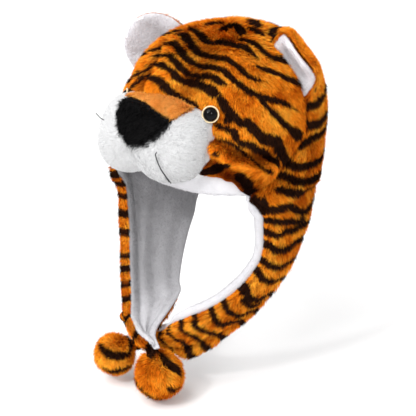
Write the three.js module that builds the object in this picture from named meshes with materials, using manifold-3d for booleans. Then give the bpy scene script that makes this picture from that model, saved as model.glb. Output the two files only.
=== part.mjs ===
// Plush tiger hat, worn form. Millimetres, +Z up, the face looks along -Y, the animal's left is +X.
// Origin: the top of the hollow where the head sits.
import * as THREE from 'three';
import { mergeVertices } from 'three/addons/utils/BufferGeometryUtils.js';
import Module from 'manifold-3d';

const wasm = await Module();
wasm.setup();
const DEG = Math.PI / 180;

// ---------- driving dimensions ----------
const HEAD = { halfWidth: 93, frontDepth: 113, backDepth: 104, top: 1, equator: -90, plan: 2.15, profile: 2.2 };
const TAPER = 0.03;            // how much the wall draws in 60 mm below the equator
const PLUSH = 7;               // plush wall with its pile
const LINING = 2.6;            // fleece wall
const GAP = 0.35;              // between sewn pieces
// rolled fleece rim: extra thickness on each flap, and how far it stands out in front (left) or starts behind (right)
const RIM = { roll: 7, rollRight: 2.5, proud: 8, behind: 7 };
const HEM = 8;                 // the right flap's plush is turned in round its front edge, this much thicker there
const CROWN_HOLE = 2.2;        // the gores meet round this radius at the very top
const EAR_SEAM = 97;           // azimuth of the seam through the ears, 0 = front
const CHEEK = { left: 5, right: 22, azimuth: 50, spread: 20 };   // padded cheeks, the right one is pulled forward

// ---------- head form ----------
function planRadius(phi) {
  const s = Math.sin(phi), c = -Math.cos(phi);
  const b = c < 0 ? HEAD.frontDepth : HEAD.backDepth;
  return Math.pow(Math.pow(Math.abs(s) / HEAD.halfWidth, HEAD.plan) + Math.pow(Math.abs(c) / b, HEAD.plan), -1 / HEAD.plan);
}
const smooth = (a, b, x) => { const t = Math.min(1, Math.max(0, (x - a) / (b - a))); return t * t * (3 - 2 * t); };
function cheekBulge(phi, z) {
  const side = phi >= 0 ? CHEEK.left : CHEEK.right;
  const d = (Math.abs(phi) / DEG - CHEEK.azimuth) / CHEEK.spread;
  return side * Math.exp(-d * d) * smooth(-75, -135, z);
}
// shallow sockets where the eyes are pulled in
const SOCKET = { azimuth: 31.5, z: -71, depth: 6, spread: 19, height: 26 };
function socket(phi, z) {
  const a = (Math.abs(phi) / DEG - SOCKET.azimuth) / SOCKET.spread, b = (z - SOCKET.z) / SOCKET.height;
  return SOCKET.depth * Math.exp(-a * a - b * b);
}
// folds of the soft forehead: their azimuth by height; the ridge falls steeply on its right side
const FOLDS = {
  ridge:  { height: 7, near: 15, far: 7, line: [{ z: -66, az: -13 }, { z: -46, az: -13 }, { z: -34, az: -12 }, { z: -27, az: -13.6 }, { z: -19, az: -18 }, { z: -12, az: -28 }, { z: -6, az: -38 }] },
  hollow: { height: -3, near: 8, far: 8, beside: -16 },
  valley: { height: -4.5, near: 9, far: 9, line: [{ z: -60, az: 12 }, { z: -41, az: 17.5 }, { z: -36, az: 20 }, { z: -29, az: 22 }, { z: -20, az: 25.5 }, { z: -6, az: 24 }] },
};
function lineAt(line, z) {
  if (z <= line[0].z) return line[0].az;
  for (let k = 1; k < line.length; k++) if (z <= line[k].z) {
    const t = (z - line[k - 1].z) / (line[k].z - line[k - 1].z);
    return line[k - 1].az + (line[k].az - line[k - 1].az) * t;
  }
  return line[line.length - 1].az;
}
function foldAt(phi, z) {
  const a = phi / DEG, ridge = lineAt(FOLDS.ridge.line, z), valley = lineAt(FOLDS.valley.line, z);
  const bump = (f, c) => { const d = (a - c) / (a > c ? f.near : f.far); return f.height * Math.exp(-d * d); };
  const fade = smooth(-4, -14, z) * smooth(-70, -48, z);
  return fade * (bump(FOLDS.ridge, ridge) + bump(FOLDS.hollow, ridge + FOLDS.hollow.beside) + bump(FOLDS.valley, valley));
}
function headAt(phi, z) {
  let rho;
  if (z >= HEAD.equator) {
    const h = Math.min(1, (z - HEAD.equator) / (HEAD.top - HEAD.equator));
    rho = Math.pow(Math.max(0, 1 - Math.pow(h, HEAD.profile)), 1 / HEAD.profile);
  } else rho = 1 - TAPER * Math.pow((HEAD.equator - z) / 60, 1.5);
  const r = planRadius(phi) * rho + cheekBulge(phi, z) - socket(phi, z) + foldAt(phi, z);
  return new THREE.Vector3(r * Math.sin(phi), -r * Math.cos(phi), z);
}
function headNormal(phi, z) {
  if (z > HEAD.top - 0.6) return new THREE.Vector3(0, 0, 1);
  const h = 0.4, w = 0.5 * DEG;
  const du = new THREE.Vector3().subVectors(headAt(phi + w, z), headAt(phi - w, z));
  const dz = new THREE.Vector3().subVectors(headAt(phi, Math.min(HEAD.top, z + h)), headAt(phi, z - h));
  const n = new THREE.Vector3().crossVectors(du, dz).normalize();
  return n;
}
function skin(phi, z) { const p = headAt(phi, z); p.out = headNormal(phi, z); return p; }
// height of the head form at polar step a: 0 = top, 1 = equator
function polar(a) {
  const psi = a * 90 * DEG;
  return HEAD.equator + (HEAD.top - HEAD.equator) * Math.pow(Math.cos(psi), 2 / HEAD.profile);
}

// ---------- closed wall from a grid of skin points ----------
function gridNormals(g, sign = 1) {
  const R = g.length, C = g[0].length, out = [];
  for (let i = 0; i < R; i++) {
    out.push([]);
    for (let j = 0; j < C; j++) {
      const du = new THREE.Vector3().subVectors(g[Math.min(R - 1, i + 1)][j], g[Math.max(0, i - 1)][j]);
      const dv = new THREE.Vector3().subVectors(g[i][Math.min(C - 1, j + 1)], g[i][Math.max(0, j - 1)]);
      const p = g[i][j];
      out[i].push(p.out ? p.out.clone().multiplyScalar(sign) : new THREE.Vector3().crossVectors(du, dv).normalize());
    }
  }
  return out;
}
// outer(i,j), inner(i,j): offsets along the outward normal
function wall(g, sign, outer, inner) {
  const n = gridNormals(g, sign), R = g.length, C = g[0].length;
  const pos = [];
  for (const f of [outer, inner])
    for (let i = 0; i < R; i++) for (let j = 0; j < C; j++) {
      const p = g[i][j].clone().addScaledVector(n[i][j], sign * f(i, j));
      pos.push(p.x, p.y, p.z);
    }
  const id = (k, i, j) => k * R * C + i * C + j, tri = [];
  const quad = (a, b, c, d) => { tri.push(a, b, c, a, c, d); };
  for (let i = 0; i < R - 1; i++) for (let j = 0; j < C - 1; j++) {
    quad(id(0, i, j), id(0, i + 1, j), id(0, i + 1, j + 1), id(0, i, j + 1));
    quad(id(1, i, j), id(1, i, j + 1), id(1, i + 1, j + 1), id(1, i + 1, j));
  }
  for (let i = 0; i < R - 1; i++) {
    quad(id(0, i, 0), id(1, i, 0), id(1, i + 1, 0), id(0, i + 1, 0));
    quad(id(0, i, C - 1), id(0, i + 1, C - 1), id(1, i + 1, C - 1), id(1, i, C - 1));
  }
  for (let j = 0; j < C - 1; j++) {
    quad(id(0, 0, j), id(0, 0, j + 1), id(1, 0, j + 1), id(1, 0, j));
    quad(id(0, R - 1, j), id(1, R - 1, j), id(1, R - 1, j + 1), id(0, R - 1, j + 1));
  }
  if (sign < 0) for (let k = 0; k < tri.length; k += 3) { const t = tri[k + 1]; tri[k + 1] = tri[k + 2]; tri[k + 2] = t; }
  const geo = new THREE.BufferGeometry();
  geo.setAttribute('position', new THREE.Float32BufferAttribute(pos, 3));
  geo.setIndex(tri);
  return geo;
}
function toManifold(geo) {
  let g = geo.clone();
  g.deleteAttribute('normal'); g.deleteAttribute('uv');
  g = mergeVertices(g, 1e-4);
  return new wasm.Manifold(new wasm.Mesh({ numProp: 3, vertProperties: new Float32Array(g.attributes.position.array), triVerts: new Uint32Array(g.index.array) }));
}
function fromManifold(m) {
  const mesh = m.getMesh();
  const g = new THREE.BufferGeometry();
  g.setAttribute('position', new THREE.Float32BufferAttribute(mesh.vertProperties, 3));
  g.setIndex(new THREE.Uint32BufferAttribute(mesh.triVerts, 1));
  return g;
}
const largest = (m) => m.decompose().sort((a, b) => b.volume() - a.volume())[0];

// ---------- crown rows: where the front edge and the back edge of each section lie ----------
// polar: step from the top; otherwise z at the front edge and at the back edge, with their azimuths
const CROWN_ROWS = [
  { name: 'apex',     polar: 0.00 },
  { name: 'top',      polar: 0.14 },
  { name: 'dome1',    polar: 0.30 },
  { name: 'dome2',    polar: 0.46 },
  { name: 'dome3',    polar: 0.62 },
  { name: 'temple',   polar: 0.80 },
  { name: 'equator',  polar: 1.00 },
];
// side panels below the equator, before the flap: front azimuth and z, back azimuth and z
const SIDE_ROWS = [
  { name: 'ear_low',  front: 94, frontRight: 92, zf: -104, back: 180, zb: -106 },
  { name: 'cheek',    front: 82, frontRight: 76, zf: -122, back: 180, zb: -124 },
  { name: 'jaw',      front: 68, frontRight: 60, zf: -138, back: 180, zb: -140 },
  { name: 'nape',     front: 55, frontRight: 52, zf: -150, back: 176, zb: -152 },
  { name: 'nape_low', front: 60.5, frontRight: 51, zf: -162, back: 156, zb: -160 },
];
// the flaps: a section for each row, from its front edge to its rear edge, bowed outwards by "bow"
const FLAP_LEFT = [
  { name: 'a', front: [ 89, -44, -174], rear: [ 62,  72, -172], bow: 12 },
  { name: 'b', front: [ 86, -41, -190], rear: [ 70,  54, -194], bow: 9 },
  { name: 'c', front: [ 83, -38, -207], rear: [ 74,  38, -216], bow: 8 },
  { name: 'd', front: [ 79, -39, -224], rear: [ 72,  26, -238], bow: 8 },
  { name: 'e', front: [ 72, -44, -239], rear: [ 64,  15, -262], bow: 7 },
  { name: 'f', front: [ 62, -52, -254], rear: [ 52,   3, -287], bow: 7 },
  { name: 'g', front: [ 50, -61, -267], rear: [ 38, -10, -308], bow: 7 },
  { name: 'h', front: [ 36, -71, -278], rear: [ 24, -24, -325], bow: 7 },
  { name: 'i', front: [ 18, -83, -288], rear: [ 10, -38, -342], bow: 7 },
  { name: 'j', front: [ -6, -86, -301], rear: [ -6, -50, -353], bow: 6 },
  { name: 'k', front: [-28, -75, -318], rear: [-27, -51, -353], bow: 4 },
  { name: 'l', front: [-47, -71, -329], rear: [-46, -58, -351], bow: 3 },
  { name: 'm', front: [-59, -77, -337], rear: [-57, -68, -352], bow: 2 },
  { name: 'n', front: [-68, -87, -343], rear: [-65, -81, -353], bow: 1 },
];
const FLAP_RIGHT = [
  { name: 'a', front: [-93, -69, -175], rear: [-60,  66, -172], bow: 13 },
  { name: 'b', front: [-94, -66, -200], rear: [-67,  32, -198], bow: 10 },
  { name: 'c', front: [-93, -66, -222], rear: [-68,  24, -222], bow: 9 },
  { name: 'd', front: [-90, -69, -244], rear: [-68,  11, -246], bow: 8 },
  { name: 'e', front: [-84, -75, -266], rear: [-67,   0, -270], bow: 8 },
  { name: 'f', front: [-76, -82, -286], rear: [-62,  -4, -292], bow: 7 },
  { name: 'g', front: [-68, -89, -300], rear: [-53, -22, -306], bow: 6 },
  { name: 'h', front: [-56, -97, -311], rear: [-41, -56, -312], bow: 5 },
  { name: 'i', front: [-41, -104, -319], rear: [-29, -84, -321], bow: 4 },
  { name: 'j', front: [-25, -109, -326], rear: [-16, -99, -329], bow: 3 },
  { name: 'k', front: [-17, -107, -333], rear: [-11, -100, -335], bow: 2 },
];
const SIDE_COLS = 11, FACE_COLS = 41;

function crownRow(row, phiA, phiB, cols) {
  const z = polar(row.polar), pts = [];
  for (let j = 0; j < cols; j++) {
    const phi = phiA + (phiB - phiA) * j / (cols - 1);
    if (row.polar === 0) {
      const p = new THREE.Vector3(CROWN_HOLE * Math.sin(phi), -CROWN_HOLE * Math.cos(phi), HEAD.top - 0.05);
      p.out = new THREE.Vector3(0, 0, 1);
      pts.push(p);
    } else pts.push(skin(phi, z));
  }
  return pts;
}
// seam gap as an angle at this section
const seamAngle = (p) => (GAP / 2) / Math.max(1.5, Math.hypot(p.x, p.y));
function sideGrid(s) {      // s = +1 the animal's left, -1 its right
  const rows = [];
  for (const r of CROWN_ROWS) {
    const probe = crownRow(r, EAR_SEAM * DEG, EAR_SEAM * DEG, 2)[0], g = seamAngle(probe);
    rows.push(crownRow(r, s * (EAR_SEAM * DEG + g), s * (180 * DEG - g), SIDE_COLS));
  }
  for (const r of SIDE_ROWS) {
    const pts = [];
    for (let j = 0; j < SIDE_COLS; j++) {
      const t = j / (SIDE_COLS - 1);
      const f = s > 0 ? r.front : r.frontRight;
      const phi = (f + (r.back - f) * t) * DEG, z = r.zf + (r.zb - r.zf) * t;
      pts.push(skin(s * Math.min(phi, 180 * DEG - 0.0018), z));
    }
    rows.push(pts);
  }
  for (const r of (s > 0 ? FLAP_LEFT : FLAP_RIGHT)) {
    const a = new THREE.Vector3(...r.front), b = new THREE.Vector3(...r.rear);
    const prev = rows[rows.length - 1];
    const down = new THREE.Vector3().subVectors(a.clone().add(b).multiplyScalar(0.5), prev[0].clone().add(prev[SIDE_COLS - 1]).multiplyScalar(0.5)).normalize();
    const out = new THREE.Vector3().crossVectors(new THREE.Vector3().subVectors(b, a).normalize(), down).multiplyScalar(-s).normalize();
    const pts = [];
    for (let j = 0; j < SIDE_COLS; j++) {
      const t = j / (SIDE_COLS - 1);
      pts.push(a.clone().lerp(b, t).addScaledVector(out, r.bow * (1 - Math.pow(2 * t - 1, 2))));
    }
    rows.push(pts);
  }
  const n = gridNormals(rows, s);
  rows.forEach((r, i) => r.forEach((p, j) => { p.out = n[i][j].clone().multiplyScalar(s); }));
  return rows;
}
// the face panel: brow rim height by azimuth
const BROW = {
  left:  [{ az: 0, z: -122 }, { az: 25, z: -127 }, { az: 36, z: -127 }, { az: 42.5, z: -124 }, { az: 47, z: -131 }, { az: 51, z: -141 }, { az: 55, z: -150 }],
  right: [{ az: 0, z: -122 }, { az: 25, z: -124 }, { az: 45, z: -130 }, { az: 62, z: -149 }],
};
// how far the fleece roll hangs below the plush there
const BROW_PROUD = {
  left:  [{ az: 0, z: 15 }, { az: 36, z: 15 }, { az: 43, z: 16 }, { az: 47, z: 8 }, { az: 50, z: 3.5 }, { az: 53.5, z: 0 }],
  right: [{ az: 0, z: 15 }, { az: 30, z: 14 }, { az: 42, z: 7 }, { az: 48, z: 0 }],
};
function byAzimuth(table, phi) {
  const T = phi >= 0 ? table.left : table.right, a = Math.abs(phi) / DEG;
  for (let k = 0; k < T.length - 1; k++) if (a <= T[k + 1].az) return T[k].z + (T[k + 1].z - T[k].z) * (a - T[k].az) / (T[k + 1].az - T[k].az);
  return T[T.length - 1].z;
}
const browZ = (phi) => byAzimuth(BROW, phi);
function faceGrid() {
  const rows = [];
  for (const r of CROWN_ROWS) {
    const probe = crownRow(r, EAR_SEAM * DEG, EAR_SEAM * DEG, 2)[0], g = seamAngle(probe);
    rows.push(crownRow(r, -EAR_SEAM * DEG + g, EAR_SEAM * DEG - g, FACE_COLS));
  }
  const low = SIDE_ROWS.slice(0, 4);
  low.forEach((r, k) => {
    const f = (k + 1) / low.length, lo = -(r.frontRight - 0.35) * DEG, hi = (r.front - 0.35) * DEG, pts = [];
    for (let j = 0; j < FACE_COLS; j++) {
      const phi = lo + (hi - lo) * j / (FACE_COLS - 1);
      const e = phi < 0 ? phi / lo : phi / hi;
      const zc = HEAD.equator + (browZ(phi) - HEAD.equator) * f;
      const z = zc + (r.zf - zc) * Math.pow(e, 6);
      pts.push(skin(phi, z));
    }
    rows.push(pts);
  });
  return rows;
}
const faceRows = faceGrid(), leftRows = sideGrid(1), rightRows = sideGrid(-1);

// plush thins a little towards its edges, so that the outline is rounded
const edgeFade = (rows) => {
  const R = rows.length, C = rows[0].length;
  return (i, j) => {
    const e = Math.min(j, C - 1 - j, i, R - 1 - i);
    return e === 0 ? 1.2 : 0;
  };
};
const EDGE_PAD = { left: 1, right: 6 };   // the plush is padded along a flap's front edge
// room for the turned edge: none above the flap, and less where the flap narrows
const hemAt = (rows, i, kind) => kind !== 'right' || i < 11 ? 0
  : HEM * (i === 11 ? 0.6 : 1) * Math.min(1, rows[i][0].distanceTo(rows[i][1]) / 7) * Math.min(1, (rows.length - 1 - i) / 3);
function plush(rows, sign, kind) {
  const fade = edgeFade(rows), pad = EDGE_PAD[kind] || 0;
  return wall(rows, sign, (i, j) => -fade(i, j) + (i >= 10 && j <= 1 ? pad * (i === 10 ? 0.5 : 1) * (j === 0 ? 0.8 : 1) * Math.min(1, (rows.length - 1 - i) / 3) : 0),
    (i, j) => -PLUSH - (j === 0 ? hemAt(rows, i, kind) : 0));
}
// fleece: carried on past the plush at the front edge (column 0 of the sides, last row of the face) and rolled there
function fleece(rows, sign, kind) {
  const C = rows[0].length, R = rows.length;
  const first = kind === 'face' ? 99 : 11;         // rows below this have a rolled front edge
  return wall(rows, sign,
    () => -(PLUSH + GAP + 0.05),
    (i, j) => {
      let t = LINING;
      if (kind === 'face' && i >= R - 2) t += i === R - 1 ? RIM.roll * 0.6 : RIM.roll;
      const roll = kind === 'right' ? RIM.rollRight : RIM.roll;
      if (kind !== 'face' && i >= first && j <= 1) t += j === 0 ? roll * 0.7 : roll;
      return -(PLUSH + GAP + t);
    });
}
function extendedFace(rows) {
  return rows.map((r, i) => i < rows.length - 1 ? r : r.map((p) => {
    const q = p.clone();
    q.z -= byAzimuth(BROW_PROUD, Math.atan2(p.x, -p.y));
    q.out = p.out;
    return q;
  }));
}
function extended(rows, s) {    // lining rows stand proud in front of the plush edge
  return rows.map((r, i) => i < 11 ? r : r.map((p, j) => {
    if (j !== 0) return p;
    const d = new THREE.Vector3().subVectors(r[0], r[1]).normalize();
    const q = p.clone().addScaledVector(d, s > 0 ? RIM.proud : -Math.min(RIM.behind, 0.85 * r[0].distanceTo(r[1])) * (i > 11 ? 1 : 0.5));
    q.out = p.out;
    return q;
  }));
}

// the fleece never enters the plush: where the wall bends, it is cut back by the plush grown by the gap
function fleeceBody(rows, base, sign, kind) {
  const body = toManifold(plush(base, sign, kind));
  const grown = toManifold(wall(base, sign, () => 1, () => -(PLUSH + GAP))).add(body).add(body.translate([-sign * 0.3, 0, 0])).add(body.translate([0, 0, 0.3]));
  return largest(toManifold(fleece(rows, sign, kind)).subtract(grown));
}

// ---------- head cutter: everything sewn on the outside is cut back to the skin ----------
function headSolid(off) {
  const pos = [], tri = [], N = 64, zs = [];
  for (const a of [0.1, 0.2, 0.3, 0.4, 0.5, 0.6, 0.7, 0.8, 0.9, 1]) zs.push(polar(a));
  for (const z of [-105, -120, -135, -150, -165]) zs.push(z);
  pos.push(0, 0, HEAD.top + off);
  zs.forEach((z, i) => {
    for (let k = 0; k < N; k++) {
      const phi = k / N * 2 * Math.PI, q = phi > Math.PI ? phi - 2 * Math.PI : phi;
      const p = headAt(q, z), r = Math.hypot(p.x, p.y);
      const lift = z > HEAD.equator ? (z - HEAD.equator) / (HEAD.top - HEAD.equator) : 0;
      const m = (r + off * (1 - lift * lift * 0.6)) / r;
      pos.push(p.x * m, p.y * m, z + off * lift);
    }
  });
  const base = 1, last = pos.length / 3;
  pos.push(0, 0, -165);
  for (let k = 0; k < N; k++) {
    const n = (k + 1) % N;
    tri.push(0, base + k, base + n);
    for (let i = 0; i < zs.length - 1; i++) {
      const a = base + i * N + k, b = base + i * N + n, c = base + (i + 1) * N + n, d = base + (i + 1) * N + k;
      tri.push(a, d, c, a, c, b);
    }
    tri.push(last, base + (zs.length - 1) * N + n, base + (zs.length - 1) * N + k);
  }
  const g = new THREE.BufferGeometry();
  g.setAttribute('position', new THREE.Float32BufferAttribute(pos, 3)); g.setIndex(tri);
  return toManifold(g);
}
const grownPanel = (rows, sign) => toManifold(wall(rows, sign, () => GAP, () => -PLUSH));
const cutter = headSolid(GAP + 0.5).add(grownPanel(faceRows, 1)).add(grownPanel(leftRows, 1)).add(grownPanel(rightRows, -1));

// ---------- stuffed muzzle ----------
const MUZZLE = { centre: [-5, -93, -96.5], half: [62, 45, 38], square: 3.1, cleft: 9, cleftWidth: 12, lobe: 3.5, lean: 0.44 };
function muzzlePoint(theta, lat, off) {
  // theta round the vertical, 0 = front; lat -90..90
  const e = 2 / MUZZLE.square, pw = (v) => Math.sign(v) * Math.pow(Math.abs(v), e);
  const ct = Math.cos(lat);
  let x = (MUZZLE.half[0] + off) * pw(ct) * pw(Math.sin(theta));
  let y = -(MUZZLE.half[1] + off) * pw(ct) * pw(Math.cos(theta));
  let z = (MUZZLE.half[2] + off) * pw(Math.sin(lat));
  const g = Math.exp(-Math.pow(x / MUZZLE.cleftWidth, 2));
  const low = smooth(8, -16, z);
  const front = smooth(0, -30, y);
  y += MUZZLE.cleft * g * low * front;
  z -= MUZZLE.lobe * (1 - Math.exp(-Math.pow(x / 22, 2))) * smooth(4, -30, z) * smooth(75, 45, Math.abs(x));
  y *= 1 - MUZZLE.lean * smooth(-11, 31, z);      // its upper half leans back to the forehead
  return new THREE.Vector3(MUZZLE.centre[0] + x, MUZZLE.centre[1] + y, MUZZLE.centre[2] + z);
}
function muzzleSolid(off) {
  const pos = [], tri = [], N = 32, M = 14;
  for (let i = 1; i < M; i++) for (let k = 0; k < N; k++) {
    const p = muzzlePoint(k / N * 2 * Math.PI, (90 - 180 * i / M) * DEG, off);
    pos.push(p.x, p.y, p.z);
  }
  const top = pos.length / 3, pt = muzzlePoint(0, 89.9 * DEG, off); pos.push(MUZZLE.centre[0], MUZZLE.centre[1], pt.z);
  const bot = top + 1, pb = muzzlePoint(0, -89.9 * DEG, off); pos.push(MUZZLE.centre[0], MUZZLE.centre[1], pb.z);
  for (let k = 0; k < N; k++) {
    const n = (k + 1) % N;
    tri.push(top, k, n);
    for (let i = 0; i < M - 2; i++) tri.push(i * N + k, (i + 1) * N + k, (i + 1) * N + n, i * N + k, (i + 1) * N + n, i * N + n);
    tri.push(bot, (M - 2) * N + n, (M - 2) * N + k);
  }
  const g = new THREE.BufferGeometry();
  g.setAttribute('position', new THREE.Float32BufferAttribute(pos, 3)); g.setIndex(tri);
  return toManifold(g);
}
let muzzleBody = largest(muzzleSolid(0).subtract(cutter));

// ---------- nose and bridge: outlines pushed through the muzzle's skin ----------
// outlines in (x, z) seen from the front
const NOSE = { pile: 6, outline: [[-35, -75], [-35, -68], [-29.5, -62.5], [-14.7, -61.8], [-1.6, -63.6], [10.7, -67.4], [23, -70.6], [33, -72.6], [30.6, -77.5], [26.6, -81.8],
  [22.4, -87.5], [16.4, -92.5], [7.2, -96], [-1, -99], [-9.6, -95.5], [-20.8, -89.3], [-28.7, -82]] };
const BRIDGE = { pile: 4, outline: [[-33, -61.2], [-30, -58.4], [-15.2, -55.2], [5.2, -53], [21.5, -54.3], [30.9, -56.8], [39.5, -61.5], [43.5, -64.3], [41, -67.8], [36.5, -71.8], [33.5, -74]
  , [23, -72], [10.7, -69], [-1.6, -65], [-14.7, -63.5], [-29.5, -64]] };
function prism(outline, axis, lo, hi) {
  const shape = new THREE.Shape(outline.map(([a, b]) => new THREE.Vector2(a, b)));
  const g = new THREE.ExtrudeGeometry(shape, { depth: hi - lo, bevelEnabled: false });
  g.translate(0, 0, lo);
  if (axis === 'y') { g.rotateX(Math.PI / 2); }
  return toManifold(g);
}
const noseBody = largest(muzzleSolid(NOSE.pile).subtract(muzzleSolid(GAP)).intersect(prism(NOSE.outline, 'y', 96, 190)).subtract(cutter));
const noseRoom = prism(NOSE.outline.map(([x, z]) => [x * 1.02, (z + 80) * 1.035 - 80]), 'y', 80, 190);
const bridgeBody = largest(muzzleSolid(BRIDGE.pile).add(headSolid(BRIDGE.pile + 0.8)).subtract(muzzleSolid(GAP)).subtract(cutter)
  .intersect(prism(BRIDGE.outline, 'y', 80, 190)).subtract(noseRoom));

// ---------- eyes ----------
const EYE = { z: -70, azimuth: 31.8, ring: 7.7, ringTube: 1.2, dome: 6.3 };
function eyeAt(s) {
  const p = headAt(s * EYE.azimuth * DEG, EYE.z);
  const q = headAt(s * (EYE.azimuth + 4) * DEG, EYE.z), r = headAt(s * EYE.azimuth * DEG, EYE.z - 6);
  const n = new THREE.Vector3().crossVectors(q.clone().sub(p), r.clone().sub(p)).multiplyScalar(-s).normalize();
  if (n.y > 0) n.negate();
  const m = new THREE.Matrix4().makeTranslation(p.x, p.y, p.z).multiply(new THREE.Matrix4().makeRotationFromQuaternion(new THREE.Quaternion().setFromUnitVectors(new THREE.Vector3(0, 1, 0), n)));
  return m;
}
function eyeDome(s) {
  const pts = [[0, 0.4], [EYE.dome, 0.4], [EYE.dome, 3.4], [EYE.dome * 0.88, 5.2], [EYE.dome * 0.55, 6.8], [0, 7.4]];
  const g = new THREE.LatheGeometry(pts.map(([a, b]) => new THREE.Vector2(a, b)), 22);
  g.applyMatrix4(eyeAt(s));
  return g;
}
function eyeRing(s) {
  const pts = [];
  for (let k = 0; k <= 7; k++) { const a = k / 7 * 2 * Math.PI; pts.push(new THREE.Vector2(EYE.ring + EYE.ringTube * Math.sin(a), 3.6 + EYE.ringTube * Math.cos(a))); }
  const g = new THREE.LatheGeometry(pts.reverse(), 26);
  g.applyMatrix4(eyeAt(s));
  return g;
}

for (const s of [1, -1]) {     // room for the eyes in the muzzle's upper corners
  const well = new THREE.CylinderGeometry(EYE.ring + EYE.ringTube + GAP, EYE.ring + EYE.ringTube + GAP, 40, 32);
  well.applyMatrix4(eyeAt(s));
  muzzleBody = largest(muzzleBody.subtract(toManifold(well)));
}

// ---------- ears: a half disc curled forward, plush behind and white fleece in front ----------
const EAR = { thick: 8, fleece: 3.5, rows: 10, cols: 11 };
// inner and outer end of the root line, the way the ear leans, its height, cup across and curl forward in mm, and how far the tip is drawn along the root
const EARS = {
  left:  { inner: [ 53.3, -6.5, -13.7], outer: [ 90.3,  10.3, -63.3], lean: [ 0.24, -0.04, 0.64], height: 38.7, cup: -1.2, curl: 24.4, skew: -0.33 },
  right: { inner: [-52.5, -7.0, -12.0], outer: [-91.2, -18.4, -72.8], lean: [-0.21, -0.04, 0.62], height: 44, cup: 7.3, curl: 18.2, skew: -0.07 },
};
function earGrid(s, grow) {
  const e = s > 0 ? EARS.left : EARS.right;
  const a = new THREE.Vector3(...e.inner), b = new THREE.Vector3(...e.outer);
  const mid = a.clone().lerp(b, 0.5), half = b.clone().sub(a).multiplyScalar(0.5 * grow), along = half.clone().normalize();
  const lean = new THREE.Vector3(...e.lean).normalize();
  const up = lean.addScaledVector(along, -lean.dot(along)).normalize().multiplyScalar(e.height * grow);
  const face = new THREE.Vector3().crossVectors(half, up).normalize();
  if (face.y > 0) face.negate();
  const rows = [], N = EAR.rows, C = EAR.cols;
  for (let i = 0; i < N; i++) {
    const v = -0.35 + 1.35 * i / (N - 1), row = [];
    const w = v <= 0 ? 1 : Math.pow(Math.max(0, 1 - Math.pow(v, 2.4)), 1 / 2.4);
    const ww = Math.max(w, 0.12), curl = e.curl * Math.pow(Math.max(0, v - 0.2), 2) / 0.64;
    for (let j = 0; j < C; j++) {
      const u = -1 + 2 * j / (C - 1);
      row.push(mid.clone().addScaledVector(half, u * ww + e.skew * v).addScaledVector(up, v).addScaledVector(face, e.cup * (u * u * ww * ww - 0.35) + curl));
    }
    rows.push(row);
  }
  return rows;
}
function earPiece(s, lo, hi, grow) {
  const rows = earGrid(s, grow);
  const n = gridNormals(rows), mid = n[5][5];
  const sign = mid.y < 0 ? 1 : -1;
  const C = rows[0].length, R = rows.length;
  const thin = (i, j) => (i === R - 1 || j === 0 || j === C - 1) ? 0.35 : (i === R - 2 || j === 1 || j === C - 2) ? 0.85 : 1;
  return largest(toManifold(wall(rows, sign, (i, j) => hi > 0 ? hi * thin(i, j) : hi, (i, j) => lo < 0 ? lo * thin(i, j) : lo)).subtract(cutter));
}

// ---------- pompoms ----------
const POMPOM = { left: { at: [-73, -97, -351], r: 21.5 }, right: { at: [-6, -98, -351], r: 25 } };
function pompom(p, grow = 0) {
  const g = new THREE.SphereGeometry(p.r + grow, 18, 12);
  g.rotateX(0.6); g.translate(...p.at);
  return toManifold(g);
}

const balls = pompom(POMPOM.left, GAP + 0.2).add(pompom(POMPOM.right, GAP + 0.2));

// where the flaps cross, the left flap's fleece gives way to the right flap's turned edge
const rightPlush = toManifold(plush(rightRows, -1, 'right'));
const crossing = rightPlush.add(rightPlush.translate([0.4, -0.2, 0.3])).add(rightPlush.translate([0.2, -0.4, 0])).add(rightPlush.translate([0.3, -0.2, -0.4]));

// ---------- assembly ----------
const group = new THREE.Group();
group.name = 'plush_tiger_hat';
const LIFT = PLUSH + GAP + 0.05 + LINING - HEAD.top;      // brings the top of the hollow to the origin
function add(name, geo, color, roughness = 0.95, metalness = 0) {
  const g = geo.isBufferGeometry ? geo : fromManifold(geo);
  g.translate(0, 0, LIFT);
  const mesh = new THREE.Mesh(g, new THREE.MeshStandardMaterial({ color, roughness, metalness }));
  mesh.name = name;
  group.add(mesh);
}
const ORANGE = 0xd8801c, WHITE = 0xe8e6ea, BLACK = 0x141210, TAN = 0xc98a48, RING = 0xe6d3a6;
add('face_panel', plush(faceRows, 1), ORANGE);
add('side_left', largest(toManifold(plush(leftRows, 1, 'left')).subtract(balls)), ORANGE);
add('side_right', largest(toManifold(plush(rightRows, -1, 'right')).subtract(balls)), ORANGE);
add('lining_face', fleeceBody(extendedFace(faceRows), faceRows, 1, 'face'), WHITE);
add('lining_left', largest(fleeceBody(extended(leftRows, 1), leftRows, 1, 'left').subtract(balls).subtract(crossing)), WHITE);
add('lining_right', largest(fleeceBody(extended(rightRows, -1), rightRows, -1, 'right').subtract(balls)), WHITE);
add('muzzle', muzzleBody, WHITE);
add('nose', noseBody, BLACK);
add('bridge', bridgeBody, TAN);
for (const [side, s] of [['left', 1], ['right', -1]]) {
  add(`eye_${side}`, largest(toManifold(eyeDome(s)).subtract(cutter)), BLACK, 0.08);
  add(`eye_ring_${side}`, largest(toManifold(eyeRing(s)).subtract(cutter)), RING, 0.35);
  add(`ear_${side}`, earPiece(s, -EAR.thick, -GAP / 2, 1), ORANGE);
  add(`ear_lining_${side}`, earPiece(s, GAP / 2, EAR.fleece, 0.98), WHITE);
}
add('pompom_left', pompom(POMPOM.left), ORANGE);
add('pompom_right', pompom(POMPOM.right), ORANGE);

export default group;
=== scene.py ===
"""A plush tiger hat as worn: striped short-pile plush panels over a white fleece lining, stuffed muzzle,
long crossed flaps and two pompoms. Sizes are in millimetres in the form's own frame and are set into the
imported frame, in metres, as each piece is made."""
import math

import bpy
import numpy as np
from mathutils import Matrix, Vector, kdtree


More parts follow.
